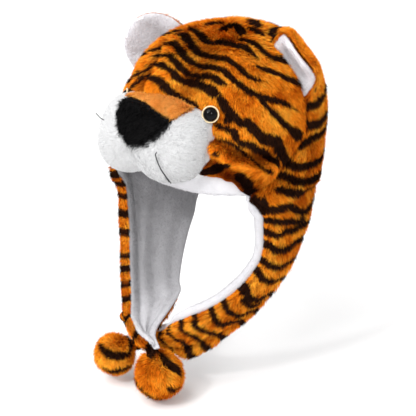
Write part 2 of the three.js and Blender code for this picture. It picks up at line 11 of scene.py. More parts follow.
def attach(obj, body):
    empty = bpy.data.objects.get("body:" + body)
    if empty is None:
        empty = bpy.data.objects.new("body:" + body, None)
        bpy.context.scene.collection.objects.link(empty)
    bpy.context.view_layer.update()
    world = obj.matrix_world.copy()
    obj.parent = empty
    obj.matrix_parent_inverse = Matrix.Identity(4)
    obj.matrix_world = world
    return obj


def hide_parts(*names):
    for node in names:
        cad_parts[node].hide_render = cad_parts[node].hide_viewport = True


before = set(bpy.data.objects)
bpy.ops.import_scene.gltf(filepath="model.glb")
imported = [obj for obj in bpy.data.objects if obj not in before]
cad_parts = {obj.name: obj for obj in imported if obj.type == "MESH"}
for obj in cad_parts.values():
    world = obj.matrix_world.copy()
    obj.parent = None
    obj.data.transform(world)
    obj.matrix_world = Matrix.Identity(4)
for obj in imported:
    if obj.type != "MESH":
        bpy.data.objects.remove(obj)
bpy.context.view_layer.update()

# ---------------------------------------------------------------- the form, in millimetres
LIFT = 9.0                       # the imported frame's origin is the top of the hollow, 9 mm under the form's own
PLUSH, LINING, GAP = 7.0, 2.6, 0.35
HALF_WIDTH, FRONT_DEPTH, BACK_DEPTH = 93.0, 113.0, 104.0
TOP, EQUATOR, PLAN, PROFILE, TAPER = 1.0, -90.0, 2.15, 2.2, 0.03
EAR_SEAM = 97.0
POLAR = [0.0, 0.14, 0.30, 0.46, 0.62, 0.80, 1.0]
SIDE_ROWS = [  # front azimuth left, right, z at the front; azimuth and z at the back
    (94, 92, -104, 180, -106),
    (82, 76, -122, 180, -124),
    (68, 60, -138, 180, -140),
    (55, 52, -150, 176, -152),
    (60.5, 51, -162, 156, -160),
]
FLAP_LEFT = [  # front edge, rear edge, bow
    ((89, -44, -174), (62, 72, -172), 12), ((86, -41, -190), (70, 54, -194), 9), ((83, -38, -207), (74, 38, -216), 8),
    ((79, -39, -224), (72, 26, -238), 8), ((72, -44, -239), (64, 15, -262), 7), ((62, -52, -254), (52, 3, -287), 7),
    ((50, -61, -267), (38, -10, -308), 7), ((36, -71, -278), (24, -24, -325), 7), ((18, -83, -288), (10, -38, -342), 7),
    ((-6, -86, -301), (-6, -50, -353), 6), ((-28, -75, -318), (-27, -51, -353), 4), ((-47, -71, -329), (-46, -58, -351), 3),
    ((-59, -77, -337), (-57, -68, -352), 2), ((-68, -87, -343), (-65, -81, -353), 1),
]
FLAP_RIGHT = [
    ((-93, -69, -175), (-60, 66, -172), 13), ((-94, -66, -200), (-68, 29, -198), 10), ((-93, -66, -222), (-69, 19, -222), 9),
    ((-90, -69, -244), (-69, 7, -246), 8), ((-84, -75, -266), (-68, -3, -270), 8), ((-76, -82, -286), (-63, -12, -292), 7),
    ((-68, -89, -300), (-50, -20, -304), 6), ((-56, -97, -311), (-35, -48, -309), 5), ((-34, -104, -318), (-22, -86, -320), 4),
    ((-14, -109, -322), (-3, -100, -325), 3), ((-11, -107, -331), (-5, -100, -333), 2),
]
BROW = {  # lower edge of the face's plush: height by azimuth
    "left": {"az": [0, 25, 36, 42.5, 47, 51, 55], "z": [-122, -127, -127, -124, -131, -141, -150]},
    "right": {"az": [0, 25, 45, 62], "z": [-122, -124, -130, -149]},
}
BROW_PROUD = {  # how far the fleece roll hangs below it
    "left": {"az": [0, 36, 43, 47, 50, 53.5], "z": [20, 20, 17, 8, 3.5, 0]},
    "right": {"az": [0, 30, 42, 48], "z": [15, 14, 7, 0]},
}
SIDE_COLS, FACE_COLS = 11, 21
EDGE_PAD = {"left": 1.0, "right": 6.0}
RIM_ROLL, RIM_PROUD, HEM = {"face": 7.0, "left": 7.0, "right": 2.5}, {"left": 7.5, "right": -2.0}, 3.0
BASE = 3.2                       # the cloth that carries the pile lies this far under the fur's outer form

# folds of the forehead: azimuth in degrees by height, how far they stand out or in, and their width on each side
RIDGE = {"z": [-66, -46, -34, -27, -19, -12, -6], "az": [-1, 0, 0.5, 0, -3, -10, -18], "near": 15.0, "far": 5.0, "height": 11.0}
HOLLOW = {"beside": -13.0, "near": 6.0, "far": 8.0, "height": -3.5}
VALLEY = {"z": [-60, -41, -36, -29, -20, -6], "az": [12, 17.5, 20, 22, 25.5, 24], "near": 9.0, "far": 9.0, "height": -4.5}
FAR_CHEEK = {"az": -58.0, "z": -72.0, "wide": 17.0, "high": 15.0, "height": 8.0}


def smooth(a, b, x):
    t = np.clip((np.asarray(x, float) - a) / (b - a), 0, 1)
    return t * t * (3 - 2 * t)


def unit(v):
    return v / (np.linalg.norm(v, axis=-1, keepdims=True) + 1e-12)


def head_at(phi, z):
    phi, z = np.asarray(phi, float), np.asarray(z, float)
    s, c = np.sin(phi), np.cos(phi)
    b = np.where(c > 0, FRONT_DEPTH, BACK_DEPTH)
    plan = (np.abs(s / HALF_WIDTH) ** PLAN + np.abs(c / b) ** PLAN) ** (-1 / PLAN)
    h = np.clip((z - EQUATOR) / (TOP - EQUATOR), 0, 1)
    rho = np.where(z >= EQUATOR, np.maximum(0, 1 - h ** PROFILE) ** (1 / PROFILE),
                   1 - TAPER * (np.maximum(0, EQUATOR - z) / 60) ** 1.5)
    a = np.degrees(np.abs(phi))
    cheek = np.where(phi >= 0, 5.0, 22.0) * np.exp(-((a - 50) / 20) ** 2) * smooth(-75, -135, z)
    dent = 6 * np.exp(-((a - 31.5) / 19) ** 2 - ((z + 71) / 26) ** 2)
    r = plan * rho + cheek - dent
    return np.stack([r * s, -r * c, np.broadcast_to(z, r.shape)], -1)


def polar_z(a):
    return EQUATOR + (TOP - EQUATOR) * math.cos(math.radians(a * 90)) ** (2 / PROFILE)


def crown_row(k, pa, pb, cols):
    phi = np.linspace(pa, pb, cols)
    if POLAR[k] == 0:
        return np.stack([2.2 * np.sin(phi), -2.2 * np.cos(phi), np.full(cols, TOP - 0.05)], -1)
    return head_at(phi, np.full(cols, polar_z(POLAR[k])))


def side_grid(s):
    rows = [crown_row(k, s * math.radians(EAR_SEAM), s * math.radians(180), SIDE_COLS) for k in range(7)]
    t = np.linspace(0, 1, SIDE_COLS)
    for fl, fr, zf, back, zb in SIDE_ROWS:
        f = fl if s > 0 else fr
        rows.append(head_at(s * np.radians(np.minimum(f + (back - f) * t, 179.9)), zf + (zb - zf) * t))
    for a, b, bow in (FLAP_LEFT if s > 0 else FLAP_RIGHT):
        a, b, prev = np.array(a, float), np.array(b, float), rows[-1]
        if s > 0:       # the pile of the front edge takes up its last few millimetres
            a = a + unit(b - a) * np.interp(len(rows), [11, 12, 16, 22, 25], [2, 3.5, 4.5, 4.5, 0])
        down = (a + b) / 2 - (prev[0] + prev[-1]) / 2
        out = np.cross((b - a) / np.linalg.norm(b - a), down / np.linalg.norm(down)) * -s
        out /= np.linalg.norm(out)
        rows.append(a + (b - a) * t[:, None] + out * (bow * (1 - (2 * t - 1) ** 2))[:, None])
    return np.array(rows)


def by_azimuth(table, phi):
    a = np.degrees(np.abs(phi))
    left, right = table["left"], table["right"]
    return np.where(np.asarray(phi) >= 0, np.interp(a, left["az"], left["z"]), np.interp(a, right["az"], right["z"]))


def face_grid():
    rows = [crown_row(k, -math.radians(EAR_SEAM), math.radians(EAR_SEAM), FACE_COLS) for k in range(7)]
    for k in range(4):
        fl, fr, zf = SIDE_ROWS[k][:3]
        f, lo, hi = (k + 1) / 4, -math.radians(fr - 0.35), math.radians(fl - 0.35)
        phi = np.linspace(lo, hi, FACE_COLS)
        e = np.where(phi < 0, phi / lo, phi / hi)
        brow = by_azimuth(BROW, phi)
        zc = EQUATOR + (brow - EQUATOR) * f
        rows.append(head_at(phi, zc + (zf - zc) * e ** 6))
    return np.array(rows)


def spline(grid, r, c):
    """Catmull-Rom through a control grid, at row and column positions of the same shape."""
    R, C = grid.shape[:2]
    r, c = np.clip(r, 0, R - 1 - 1e-6), np.clip(c, 0, C - 1 - 1e-6)
    i, j = r.astype(int), c.astype(int)
    u, v = (r - i)[..., None], (c - j)[..., None]

    def w(t):
        return (-t + 2 * t * t - t ** 3) / 2, (2 - 5 * t * t + 3 * t ** 3) / 2, (t + 4 * t * t - 3 * t ** 3) / 2, (t ** 3 - t * t) / 2

    def pick(a, b):
        aa, bb = np.clip(a, 0, R - 1), np.clip(b, 0, C - 1)
        p = grid[aa, bb].copy()
        da, db = a - aa, b - bb
        for d, q in ((da, grid[np.clip(aa - np.sign(da), 0, R - 1), bb]), (db, grid[aa, np.clip(bb - np.sign(db), 0, C - 1)])):
            p += np.abs(d)[..., None] * (grid[aa, bb] - q)
        return p

    out = 0
    for ku, wu in zip((-1, 0, 1, 2), w(u)):
        line = 0
        for kv, wv in zip((-1, 0, 1, 2), w(v)):
            line = line + wv * pick(i + ku, j + kv)
        out = out + wu * line
    return out


def vnoise(P, scale, seed):
    """Smooth noise from -1 to 1 at points in millimetres."""
    q = np.asarray(P, float) / scale + seed * 17.31
    i = np.floor(q).astype(np.int64)
    f = q - i
    f = f * f * (3 - 2 * f)
    out = 0
    for dx in (0, 1):
        for dy in (0, 1):
            for dz in (0, 1):
                h = (i[..., 0] + dx) * 374761393 + (i[..., 1] + dy) * 668265263 + (i[..., 2] + dz) * 2147483647 + seed * 974634777
                h = (h ^ (h >> 13)) * 1274126177
                h = ((h ^ (h >> 16)) & 0xFFFF) / 65535.0
                w = np.abs(1 - dx - f[..., 0]) * np.abs(1 - dy - f[..., 1]) * np.abs(1 - dz - f[..., 2])
                out = out + w * h
    return out * 2 - 1


def fold(P):
    """Forehead folds, as a shift outwards from the upright axis."""
    az, z = np.degrees(np.arctan2(P[..., 0], -P[..., 1])), P[..., 2]

    def bump(f, centre):
        d = (az - centre) / np.where(az > centre, f["near"], f["far"])
        return f["height"] * np.exp(-d * d)
    ridge, valley = np.interp(z, RIDGE["z"], RIDGE["az"]), np.interp(z, VALLEY["z"], VALLEY["az"])
    h = bump(RIDGE, ridge) + bump(HOLLOW, ridge + HOLLOW["beside"]) + bump(VALLEY, valley)
    out = np.stack([P[..., 0], P[..., 1], 0 * z], -1)
    c = FAR_CHEEK
    h = h * smooth(-4, -14, z) * smooth(-61, -45, z) + c["height"] * np.exp(-((az - c["az"]) / c["wide"]) ** 2 - ((z - c["z"]) / c["high"]) ** 2)
    return unit(out) * h[..., None]


def blur(A, sigma):
    k = np.exp(-(np.arange(-3 * sigma, 3 * sigma + 1) / sigma) ** 2 / 2)
    k /= k.sum()
    for axis in (0, 1):
        pad = [(3 * sigma, 3 * sigma) if a == axis else (0, 0) for a in (0, 1)]
        A = np.apply_along_axis(lambda v: np.convolve(v, k, "valid"), axis, np.pad(A, pad, "edge"))
    return A


# ---------------------------------------------------------------- panels as fine grids
class Panel:
    def __init__(self, name, grid, sign, sub_r, sub_c):
        self.name, self.grid, self.sign = name, grid, sign
        R, C = grid.shape[:2]
        r = np.concatenate([np.linspace(k, k + 1, s, endpoint=False) for k, s in zip(range(R - 1), sub_r)] + [[R - 1.0]])
        c = np.linspace(0, C - 1, (C - 1) * sub_c + 1)
        self.r, self.c = np.meshgrid(r, c, indexing="ij")
        P = spline(grid, self.r, self.c)
        N = self.normals(P)
        h = np.zeros(self.r.shape)
        az = np.degrees(np.arctan2(P[..., 0], -P[..., 1]))
        if name == "face":      # the seam lines to the ears sink a little, and so does the crease from the muzzle to the cheek
            h = h - 1.6 * np.exp(-(np.minimum(self.c, 20 - self.c) / 0.28) ** 2) * smooth(0.8, 2, self.r)
            # by height, since the rows bend towards the notch of the brow
            zl = np.interp(az, [27, 36, 44, 55, 64, 72], [-86, -91.5, -102, -109, -112, -115])
            h = h - 3.5 * np.exp(-((P[..., 2] - zl) / 3.6) ** 2) * smooth(26, 34, az) * smooth(76, 66, az)
            h = h + 8.8 * np.exp(-((P[..., 2] - zl + 11.0) / 6.8) ** 2) * smooth(28, 38, az) * smooth(74, 62, az)
            h = h - 3.0 * np.exp(-((P[..., 2] - zl + 22.5) / 5.5) ** 2) * smooth(28, 34, az) * smooth(52, 42, az)
        else:
            h = h - 1.6 * np.exp(-(self.c / 0.25) ** 2) * smooth(0.8, 2, self.r) * smooth(10.6, 9.6, self.r)
            h = h - 1.2 * np.exp(-((10 - self.c) / 0.2) ** 2) * smooth(0.8, 2, self.r) * smooth(9.5, 8.5, self.r)
            pad = np.interp(self.c, [0, 1, 2], [0.8, 1.0, 0.0]) * smooth(9, 11, self.r) * np.clip((R - 1 - self.r) / 3, 0, 1)
            h = h + EDGE_PAD[name] * pad
            if name == "left":  # the lower flap is folded along its length
                crease = np.interp(self.r, [15, 18, 20, 23, 25], [8.2, 6.6, 5.6, 5.0, 5.0])
                h = h - 3.0 * np.exp(-((self.c - crease) / 0.75) ** 2) * smooth(15.5, 17.5, self.r)
        h = h + 0.8 * vnoise(P, 24, 3) + 0.35 * vnoise(P, 9, 4)
        self.flat, self.flatN = P, N
        shift = fold(P) if name == "face" else 0 * P
        high = h + np.linalg.norm(shift, axis=-1) * np.sign((shift * N).sum(-1) + 1e-9)
        # the relief against its blurred self: the pile takes painted shade from it in creases and painted light on
        # ridges
        self.cavity = high - blur(high, 6)
        self.P = P + N * h[..., None] + (fold(P) if name == "face" else 0)
        self.N = self.normals(self.P)
        du = np.gradient(self.P, axis=0)
        self.T = unit(du - self.N * (du * self.N).sum(-1, keepdims=True))
        self.U = unit(np.gradient(self.P, axis=1))
        a, b = self.P[1:, :-1] - self.P[:-1, :-1], self.P[:-1, 1:] - self.P[:-1, :-1]
        self.area = np.linalg.norm(np.cross(a, b), axis=-1)

    def normals(self, P):
        n = np.cross(np.gradient(P, axis=0), np.gradient(P, axis=1))
        n = unit(n) * self.sign
        n[0] = [0, 0, 1]
        return n

    def look_up(self, A, r, c):
        rows, cols = self.r[:, 0], self.c[0]
        i = np.clip(np.searchsorted(rows, r) - 1, 0, len(rows) - 2)
        j = np.clip(np.searchsorted(cols, c) - 1, 0, len(cols) - 2)
        return A[i, j]

    def sample(self, count, rng, keep=None):
        """Roots spread evenly over the area: row, column, point, normal, down and across vectors."""
        area = self.area
        if keep is not None:
            area = area * keep[:-1, :-1]
        total = np.cumsum(area.ravel())
        pos = (np.arange(count) + rng.random(count)) / count * total[-1]
        cell = np.minimum(np.searchsorted(total, pos), len(total) - 1)
        i, j = np.divmod(cell, area.shape[1])
        u, v = rng.random(count)[:, None], rng.random(count)[:, None]

        def at(A):
            return (A[i, j] * (1 - u) + A[i + 1, j] * u) * (1 - v) + (A[i, j + 1] * (1 - u) + A[i + 1, j + 1] * u) * v
        r = at(self.r[..., None])[:, 0]
        c = at(self.c[..., None])[:, 0]
        return r, c, at(self.P), unit(at(self.N)), unit(at(self.T)), unit(at(self.U)), at(self.flat)

    def at(self, r, c):
        """The same at given rows and columns."""
        rows, cols = self.r[:, 0], self.c[0]
        i = np.clip(np.searchsorted(rows, r) - 1, 0, len(rows) - 2)
        j = np.clip(np.searchsorted(cols, c) - 1, 0, len(cols) - 2)
        u, v = ((r - rows[i]) / (rows[i + 1] - rows[i]))[:, None], ((c - cols[j]) / (cols[j + 1] - cols[j]))[:, None]

        def mix(A):
            return (A[i, j] * (1 - u) + A[i + 1, j] * u) * (1 - v) + (A[i, j + 1] * (1 - u) + A[i + 1, j + 1] * u) * v
        return mix(self.P), unit(mix(self.N)), unit(mix(self.T)), unit(mix(self.U)), mix(self.flat), unit(mix(self.flatN))


def hem_of(name, r, c=0.0):
    """How much thicker the right flap's plush is where it is turned in round the front edge."""
    if name != "right":
        return 0.0 * (np.asarray(r) + np.asarray(c))
    g = side_grid(-1)
    gap = np.minimum(1, np.linalg.norm(g[:, 0] - g[:, 1], axis=1) / 7)
    k = np.arange(len(g))
    depth = HEM * gap * np.clip((len(g) - 1 - k) / 3, 0, 1) * np.where(k < 11, 0, np.where(k == 11, 0.6, 1))
    return np.interp(r, k, depth) * np.clip(1 - np.asarray(c), 0, 1)


FACE_SUB = [12, 12, 12, 12, 12, 12, 14, 8, 8, 8]
SIDE_SUB = [12, 12, 12, 12, 12, 12, 8, 9, 8, 6, 6, 6] + [8] * 13
panels = {
    "face": Panel("face", face_grid(), 1, FACE_SUB[:10], 8),
    "left": Panel("left", side_grid(1), 1, SIDE_SUB[:25], 8),
    "right": Panel("right", side_grid(-1), -1, [12, 12, 12, 12, 12, 12, 8, 9, 8, 6, 6, 7] + [9] * 10, 8),
}

# ---------------------------------------------------------------- stripes
# each stripe: panel, half-widths at its start, middle and end in mm, and its line as (row, column) of the panel
STRIPES = [
    ("face", (2.0, 2.6, 3.6), [(1.48, 7.28), (1.67, 10.05), (1.98, 11.46), (2.32, 12.44), (2.24, 13.29), (2.3, 14.13), (2.47, 14.82), (2.69, 15.8), (3.33, 16.55)]),
    ("face", (1.6, 2.7, 3.0), [(2.11, 15.1), (2.27, 16.1), (2.57, 17), (3.23, 17.6), (3.65, 19.2), (3.8, 19.85)]),
    ("face", (2.0, 2.6, 2.0), [(2.2, 7.21), (1.97, 8.9), (2.19, 10.27), (2.63, 11.4), (2.98, 12.17), (3.1, 12.84), (3.18, 13.54), (3.2, 14.08), (3.46, 14.6), (4.08, 15.6), (4.43, 16.8)]),
    ("face", (1.5, 2.2, 2.0), [(3.59, 16), (4.08, 17.6), (4.64, 19.3), (4.82, 19.9)]),
    ("face", (2.0, 2.3, 2.8), [(2.68, 8.3), (2.53, 9.15), (2.47, 9.61), (2.67, 10.4), (3.06, 11.21), (3.41, 11.82), (3.62, 12.44), (3.6, 13.03), (3.68, 13.62), (3.86, 14.1), (4.19, 14.56), (4.83, 15.9), (5.11, 17.4), (5.66, 19.6)]),
    ("face", (1.5, 3.0, 5.0), [(4.89, 15.9), (5.34, 16.8), (5.87, 17.9), (6.28, 18.7), (7, 19.6)]),
    ("face", (2.0, 2.1, 3.0), [(3.52, 7.9), (3.36, 8.61), (3.07, 9.9), (3.13, 10.42), (3.41, 11.01), (3.76, 11.5), (4, 11.96), (4.06, 12.51), (4.04, 12.98), (4.09, 13.37), (4.27, 13.82), (4.38, 14.11)]),
    ("face", (2.0, 3.5, 5.0), [(3.95, 7.95), (3.78, 8.75), (3.55, 10.03), (3.66, 10.61), (3.84, 11.03), (4.15, 11.42), (4.28, 11.83), (4.34, 12.37), (4.47, 12.91), (4.63, 13.34), (5.27, 14.3), (5.56, 14.9), (5.65, 15.4), (6.2, 16.3), (6.54, 17.1), (7.17, 17.79), (7.77, 18.93), (8.1, 19.79)]),
    ("face", (2.0, 3.6, 2.2), [(4.58, 7.7), (4.44, 8.43), (4.19, 9.94), (4.24, 10.38), (4.37, 10.74), (4.56, 10.95), (4.75, 11.27), (4.89, 11.61), (5.1, 12.4), (5.25, 12.7)]),
    ("face", (2.0, 3.0, 2.5), [(4.81, 13.6), (5.07, 13.9), (5.24, 14.1), (5.45, 14.3), (5.57, 14)]),
    ("face", (2.0, 2.5, 3.0), [(5.61, 13.5), (5.68, 14), (5.79, 14.4), (5.91, 14.6), (6.29, 14.7)]),
    ("face", (0.8, 0.8, 0.8), [(6.07, 13.3), (6.29, 14.2), (7.12, 15.01), (7.43, 15.64), (8.09, 17.3), (8.44, 18.62)]),
    ("face", (2.0, 3.0, 3.0), [(6.35, 14.7), (6.56, 15.3), (7.35, 16.94), (8.28, 19.25)]),
    ("face", (0.6, 0.8, 0.6), [(7.59, 13.59), (7.95, 14.24)]),
    ("face", (3.2, 3.4, 3.0), [(9.75, 14.2), (9.5, 14.7), (9.3, 15.1), (9.09, 15.4), (8.82, 15.9)]),
    ("face", (0.5, 0.7, 0.4), [(7.52, 13.66), (7.62, 13.9), (7.7, 14.17)]),
    # a black stripe along the underside of the cheek's roll, widened towards the cheek's end: partly the stripe, partly
    # painted shadow of the roll
    ("face", (3.2, 5.6, 7.2), [(9.35, 16.9), (9.25, 17.5), (9.6, 18.6), (9.85, 19.3), (9.95, 20)]),
    ("face", (2.0, 3.0, 2.0), [(1.17, 9.8), (0.73, 10.2), (0.62, 13)]),
    ("face", (2.0, 3.0, 3.0), [(1.57, 13.1), (1.13, 13.9), (0.9, 15.6), (1.3, 16.3), (1.88, 15.7)]),
    ("face", (3.0, 3.0, 3.0), [(1.25, 18.4), (1.5, 18.8), (2.03, 19)]),
    # far side of the forehead fold and the right half
    ("face", (2.6, 2.8, 3.0), [(1.75, 8), (2.18, 6.21), (2.6, 5), (3, 3.4), (3.2, 1.6), (3.3, 0.2)]),
    ("face", (1.9, 2.2, 2.8), [(2.8, 8.6), (2.95, 8.15), (3.2, 7.43), (3.46, 6.56), (3.68, 5.96), (4, 4.6), (4.2, 2.8), (4.4, 1.2), (4.6, 0.1)]),
    ("face", (1.3, 2.0, 3.0), [(3.9, 8.75), (4.05, 8.46), (4.31, 7.9), (4.6, 6.89), (4.95, 5.6), (5.2, 4.2), (5.45, 2.4), (5.6, 0.2)]),
    ("face", (1.1, 2.0, 4.5), [(4.45, 8.6), (4.56, 8.37), (4.75, 7.96), (5, 7.2), (5.4, 6), (5.75, 4.8), (6.3, 3.2), (7, 2), (7.9, 0.4)]),
    ("face", (2.0, 2.6, 3.0), [(5.6, 6.6), (5.75, 5.8), (6.2, 5.2), (6.9, 4.6), (7.4, 2.9), (8.3, 0.8)]),
    ("face", (2.0, 2.2, 2.0), [(2.3, 4.6), (2.1, 3.2), (2.25, 1.8), (2.1, 0.6)]),
    ("face", (2.0, 2.8, 2.8), [(6.5, 6.6), (7.1, 5.6), (7.9, 4), (8.8, 1.79)]),
    ("face", (2.5, 4.0, 4.5), [(8.7, 4.38), (9.2, 3.02), (9.6, 1.45), (9.8, 0.32)]),
    # left side: bands from the ear seam round to the back
    ("left", (3.0, 3.0, 2.4), [(5.47, 0), (5.5, 1), (5.46, 2.3), (5.3, 4.2), (5.38, 6.4), (5.2, 9.9)]),
    ("left", (4.0, 3.2, 2.4), [(6.15, 0), (6.18, 0.6), (6.29, 1.8), (6.24, 2.9), (6.15, 5), (6.3, 7.4)]),
    ("left", (3.4, 3.0, 3.0), [(7.34, 0), (7.28, 0.6), (7.2, 1.6), (7.2, 3.4), (7, 5.2), (7.1, 7.6), (6.9, 9.9)]),
    ("left", (2.6, 2.6, 2.0), [(8.15, 0), (8.28, 0.38), (8.58, 1.56), (8.76, 2.87), (8.85, 4.38), (8.75, 5.18), (8.3, 6.59), (8, 8.4), (8.1, 9.9)]),
    ("left", (2.8, 3.0, 2.4), [(8.73, 0), (8.84, 0.57), (9.18, 1.48), (9.9, 3.29), (10.2, 4.9), (10.2, 6.6), (9.6, 8.27), (9.2, 9.9)]),
    ("left", (2.2, 3.0, 2.6), [(9.69, 0.93), (10.05, 1.8), (10.59, 2.69), (11.58, 5.1), (11.7, 7.41), (11.2, 9.9)]),
    ("left", (4.5, 4.5, 3.0), [(10.3, 0), (10.8, 0.15), (11.3, 0.1)]),
    ("left", (3.0, 3.0, 2.4), [(11.36, 0.07), (11.6, 0.64), (11.91, 1.41), (12.15, 2.5), (12.54, 4.2), (12.75, 6.3), (12.7, 8.6), (12.5, 10)]),
    ("left", (2.5, 2.5, 1.6), [(12.3, 0), (12.62, 1.3), (12.8, 2.8), (12.99, 5), (13.04, 6.9)]),
    ("left", (2.5, 2.4, 2.0), [(13.1, 0), (13.34, 1.3), (13.25, 2.6), (13.31, 4.8), (13.28, 6.2), (13.4, 9.9)]),
    ("left", (2.6, 3.0, 2.4), [(13.9, 0), (14.15, 1), (14.27, 2.2), (14.25, 3.9), (14.09, 4.9), (13.99, 6.2), (14.1, 10)]),
    ("left", (2.5, 2.4, 2.0), [(14.95, 0), (15.12, 1.3), (15.18, 3.2), (15.1, 4.9), (14.97, 6.1), (14.85, 9.9)]),
    ("left", (2.3, 2.3, 2.0), [(15.7, 0), (15.87, 1.1), (15.97, 3.1), (15.96, 4.9), (15.78, 6.4), (15.9, 9.9)]),
    ("left", (4.6, 3.6, 2.0), [(16.85, 0), (17.05, 1.2), (17.05, 3), (16.8, 5.3), (16.55, 6.6), (16.6, 9.9)]),
    ("left", (2.2, 2.2, 2.0), [(17.25, 0.8), (17.33, 3.4), (17.2, 5.2), (16.95, 6.6)]),
    ("left", (2.0, 2.0, 2.2), [(18.11, 0), (18.14, 1.5), (18.1, 3.3), (17.9, 4.8), (17.5, 5.8), (17.4, 9.9)]),
    ("left", (2.0, 2.0, 2.6), [(18.85, 0), (18.92, 2), (18.87, 3.5), (18.59, 4.4), (18.27, 5.2), (18.14, 6.8), (18.2, 9.9)]),
    ("left", (2.0, 2.3, 3.8), [(19.69, 0), (19.78, 1), (19.68, 2.3), (19.45, 3.8), (19.25, 5.8), (19.15, 8), (19.2, 9.9)]),
    ("left", (2.0, 2.0, 2.6), [(20.37, 0), (20.41, 0.9), (20.32, 2), (20.13, 3.2), (20, 4.5), (19.97, 6.9), (19.94, 9.9)]),
    ("left", (2.0, 2.4, 3.6), [(21.13, 0), (21.11, 0.9), (20.92, 2.4), (20.68, 3.5), (20.61, 5), (20.73, 6.6), (20.75, 9.9)]),
    ("left", (2.4, 2.4, 2.4), [(22.3, 0.2), (22.1, 3), (21.8, 5.2), (21.8, 9.9)]),
    ("left", (2.4, 2.4, 2.4), [(23.3, 0.2), (23.1, 5), (23.2, 9.8)]),
    ("left", (2.2, 2.2, 2.2), [(24.3, 0.2), (24.2, 9.8)]),
    # right side
    ("right", (2.4, 3.0, 2.4), [(5.7, 0), (5.9, 2.2), (5.6, 4.4), (5.8, 7), (5.6, 9.9)]),
    ("right", (4.0, 3.0, 2.2), [(6.9, 0), (6.8, 2), (7, 4.6), (6.7, 7.2)]),
    ("right", (4.4, 3.2, 2.6), [(7.9, 0), (8.2, 1.8), (8, 4.4), (7.7, 7), (7.9, 9.9)]),
    ("right", (2.8, 2.8, 2.2), [(8.5, 0.2), (9.1, 2.2), (9.3, 4.8), (9, 7.4), (8.8, 9.9)]),
    ("right", (2.8, 3.2, 2.4), [(9.8, 0), (10.2, 2.2), (10.4, 5), (10.1, 8), (10, 9.9)]),
    ("right", (3.6, 3.0, 2.6), [(10.8, 0), (11.1, 2.4), (11.3, 5), (11.2, 8), (11.1, 9.9)]),
    ("right", (2.4, 2.6, 2.2), [(11.75, 0), (12, 3), (12.2, 6.4), (12.1, 9.9)]),
    ("right", (2.4, 2.6, 2.2), [(12.4, 0), (12.7, 3.4), (12.8, 7)]),
    ("right", (3.0, 3.0, 2.4), [(13.2, 0), (13.4, 3), (13.5, 6.4), (13.4, 9.9)]),
    ("right", (3.0, 3.0, 2.4), [(14.2, 0), (14.3, 3.4), (14.4, 6.4), (14.3, 9.9)]),
    ("right", (2.6, 3.0, 2.4), [(15.3, 0), (15.4, 3), (15.3, 6), (15.4, 9.9)]),
    ("right", (2.4, 2.6, 2.2), [(15.9, 0), (16.1, 5), (16, 8)]),
    ("right", (2.8, 2.8, 2.2), [(16.6, 0), (16.7, 4), (16.8, 9.9)]),
    ("right", (2.8, 2.6, 2.2), [(17.4, 0), (17.6, 4), (17.5, 9.9)]),
    ("right", (2.2, 2.4, 2.2), [(18.8, 0), (18.6, 4), (18.5, 9.9)]),
    ("right", (2.2, 2.6, 2.2), [(19.9, 0), (19.7, 5), (19.6, 9.9)]),
    ("right", (2.0, 2.4, 2.0), [(21, 0), (20.9, 9.9)]),
]
# bands of the crown behind the ears: row at the seam, how far it wanders, row drift to the back, last column
CROWN_BANDS = [
    ("left", 1.15, 0.12, -0.10, 7.5), ("left", 2.05, 0.16, 0.05, 10.0), ("left", 2.85, 0.13, -0.12, 6.2), ("left", 3.75, 0.15, 0.0, 10.0),
    ("left", 4.75, 0.14, -0.12, 8.6), ("left", 3.1, 0.10, 0.05, -10.0), ("left", 4.4, 0.10, 0.0, -10.0),
    ("right", 1.3, 0.12, 0.05, 10.0), ("right", 2.15, 0.15, -0.1, 6.8), ("right", 3.35, 0.14, -0.1, 10.0), ("right", 4.7, 0.14, -0.25, 9.4),
    ("right", 2.5, 0.10, 0.1, -10.0), ("right", 3.95, 0.10, 0.1, -10.0), ("right", 5.15, 0.10, 0.0, -10.0),
]
for k, (side, row, wander, drift, last) in enumerate(CROWN_BANDS):
    cols = np.linspace(0.0, last, 6) if last > 0 else np.linspace(10.0, 5.6 + 0.6 * math.sin(k), 4)
    STRIPES.append((side, (2.6, 2.9, 1.8), [(row + wander * math.sin(1.05 * c + 1.7 * k) + drift * c / 5, c) for c in cols]))


def polyline(pts, step):
    """A smooth line through (row, column) points, with its place along it from 0 to 1."""
    p = np.array(pts, float)
    if len(p) > 2:
        q = np.vstack([2 * p[0] - p[1], p, 2 * p[-1] - p[-2]])
        out = []
        for k in range(len(p) - 1):
            t = np.linspace(0, 1, step, endpoint=False)[:, None]
            a, b, c, d = q[k], q[k + 1], q[k + 2], q[k + 3]
            out.append(0.5 * (2 * b + (c - a) * t + (2 * a - 5 * b + 4 * c - d) * t ** 2 + (3 * b - a - 3 * c + d) * t ** 3))
        p = np.vstack(out + [p[-1:]])
    else:
        p = p[0] + (p[-1] - p[0]) * np.linspace(0, 1, step)[:, None]
    return p, np.linspace(0, 1, len(p))


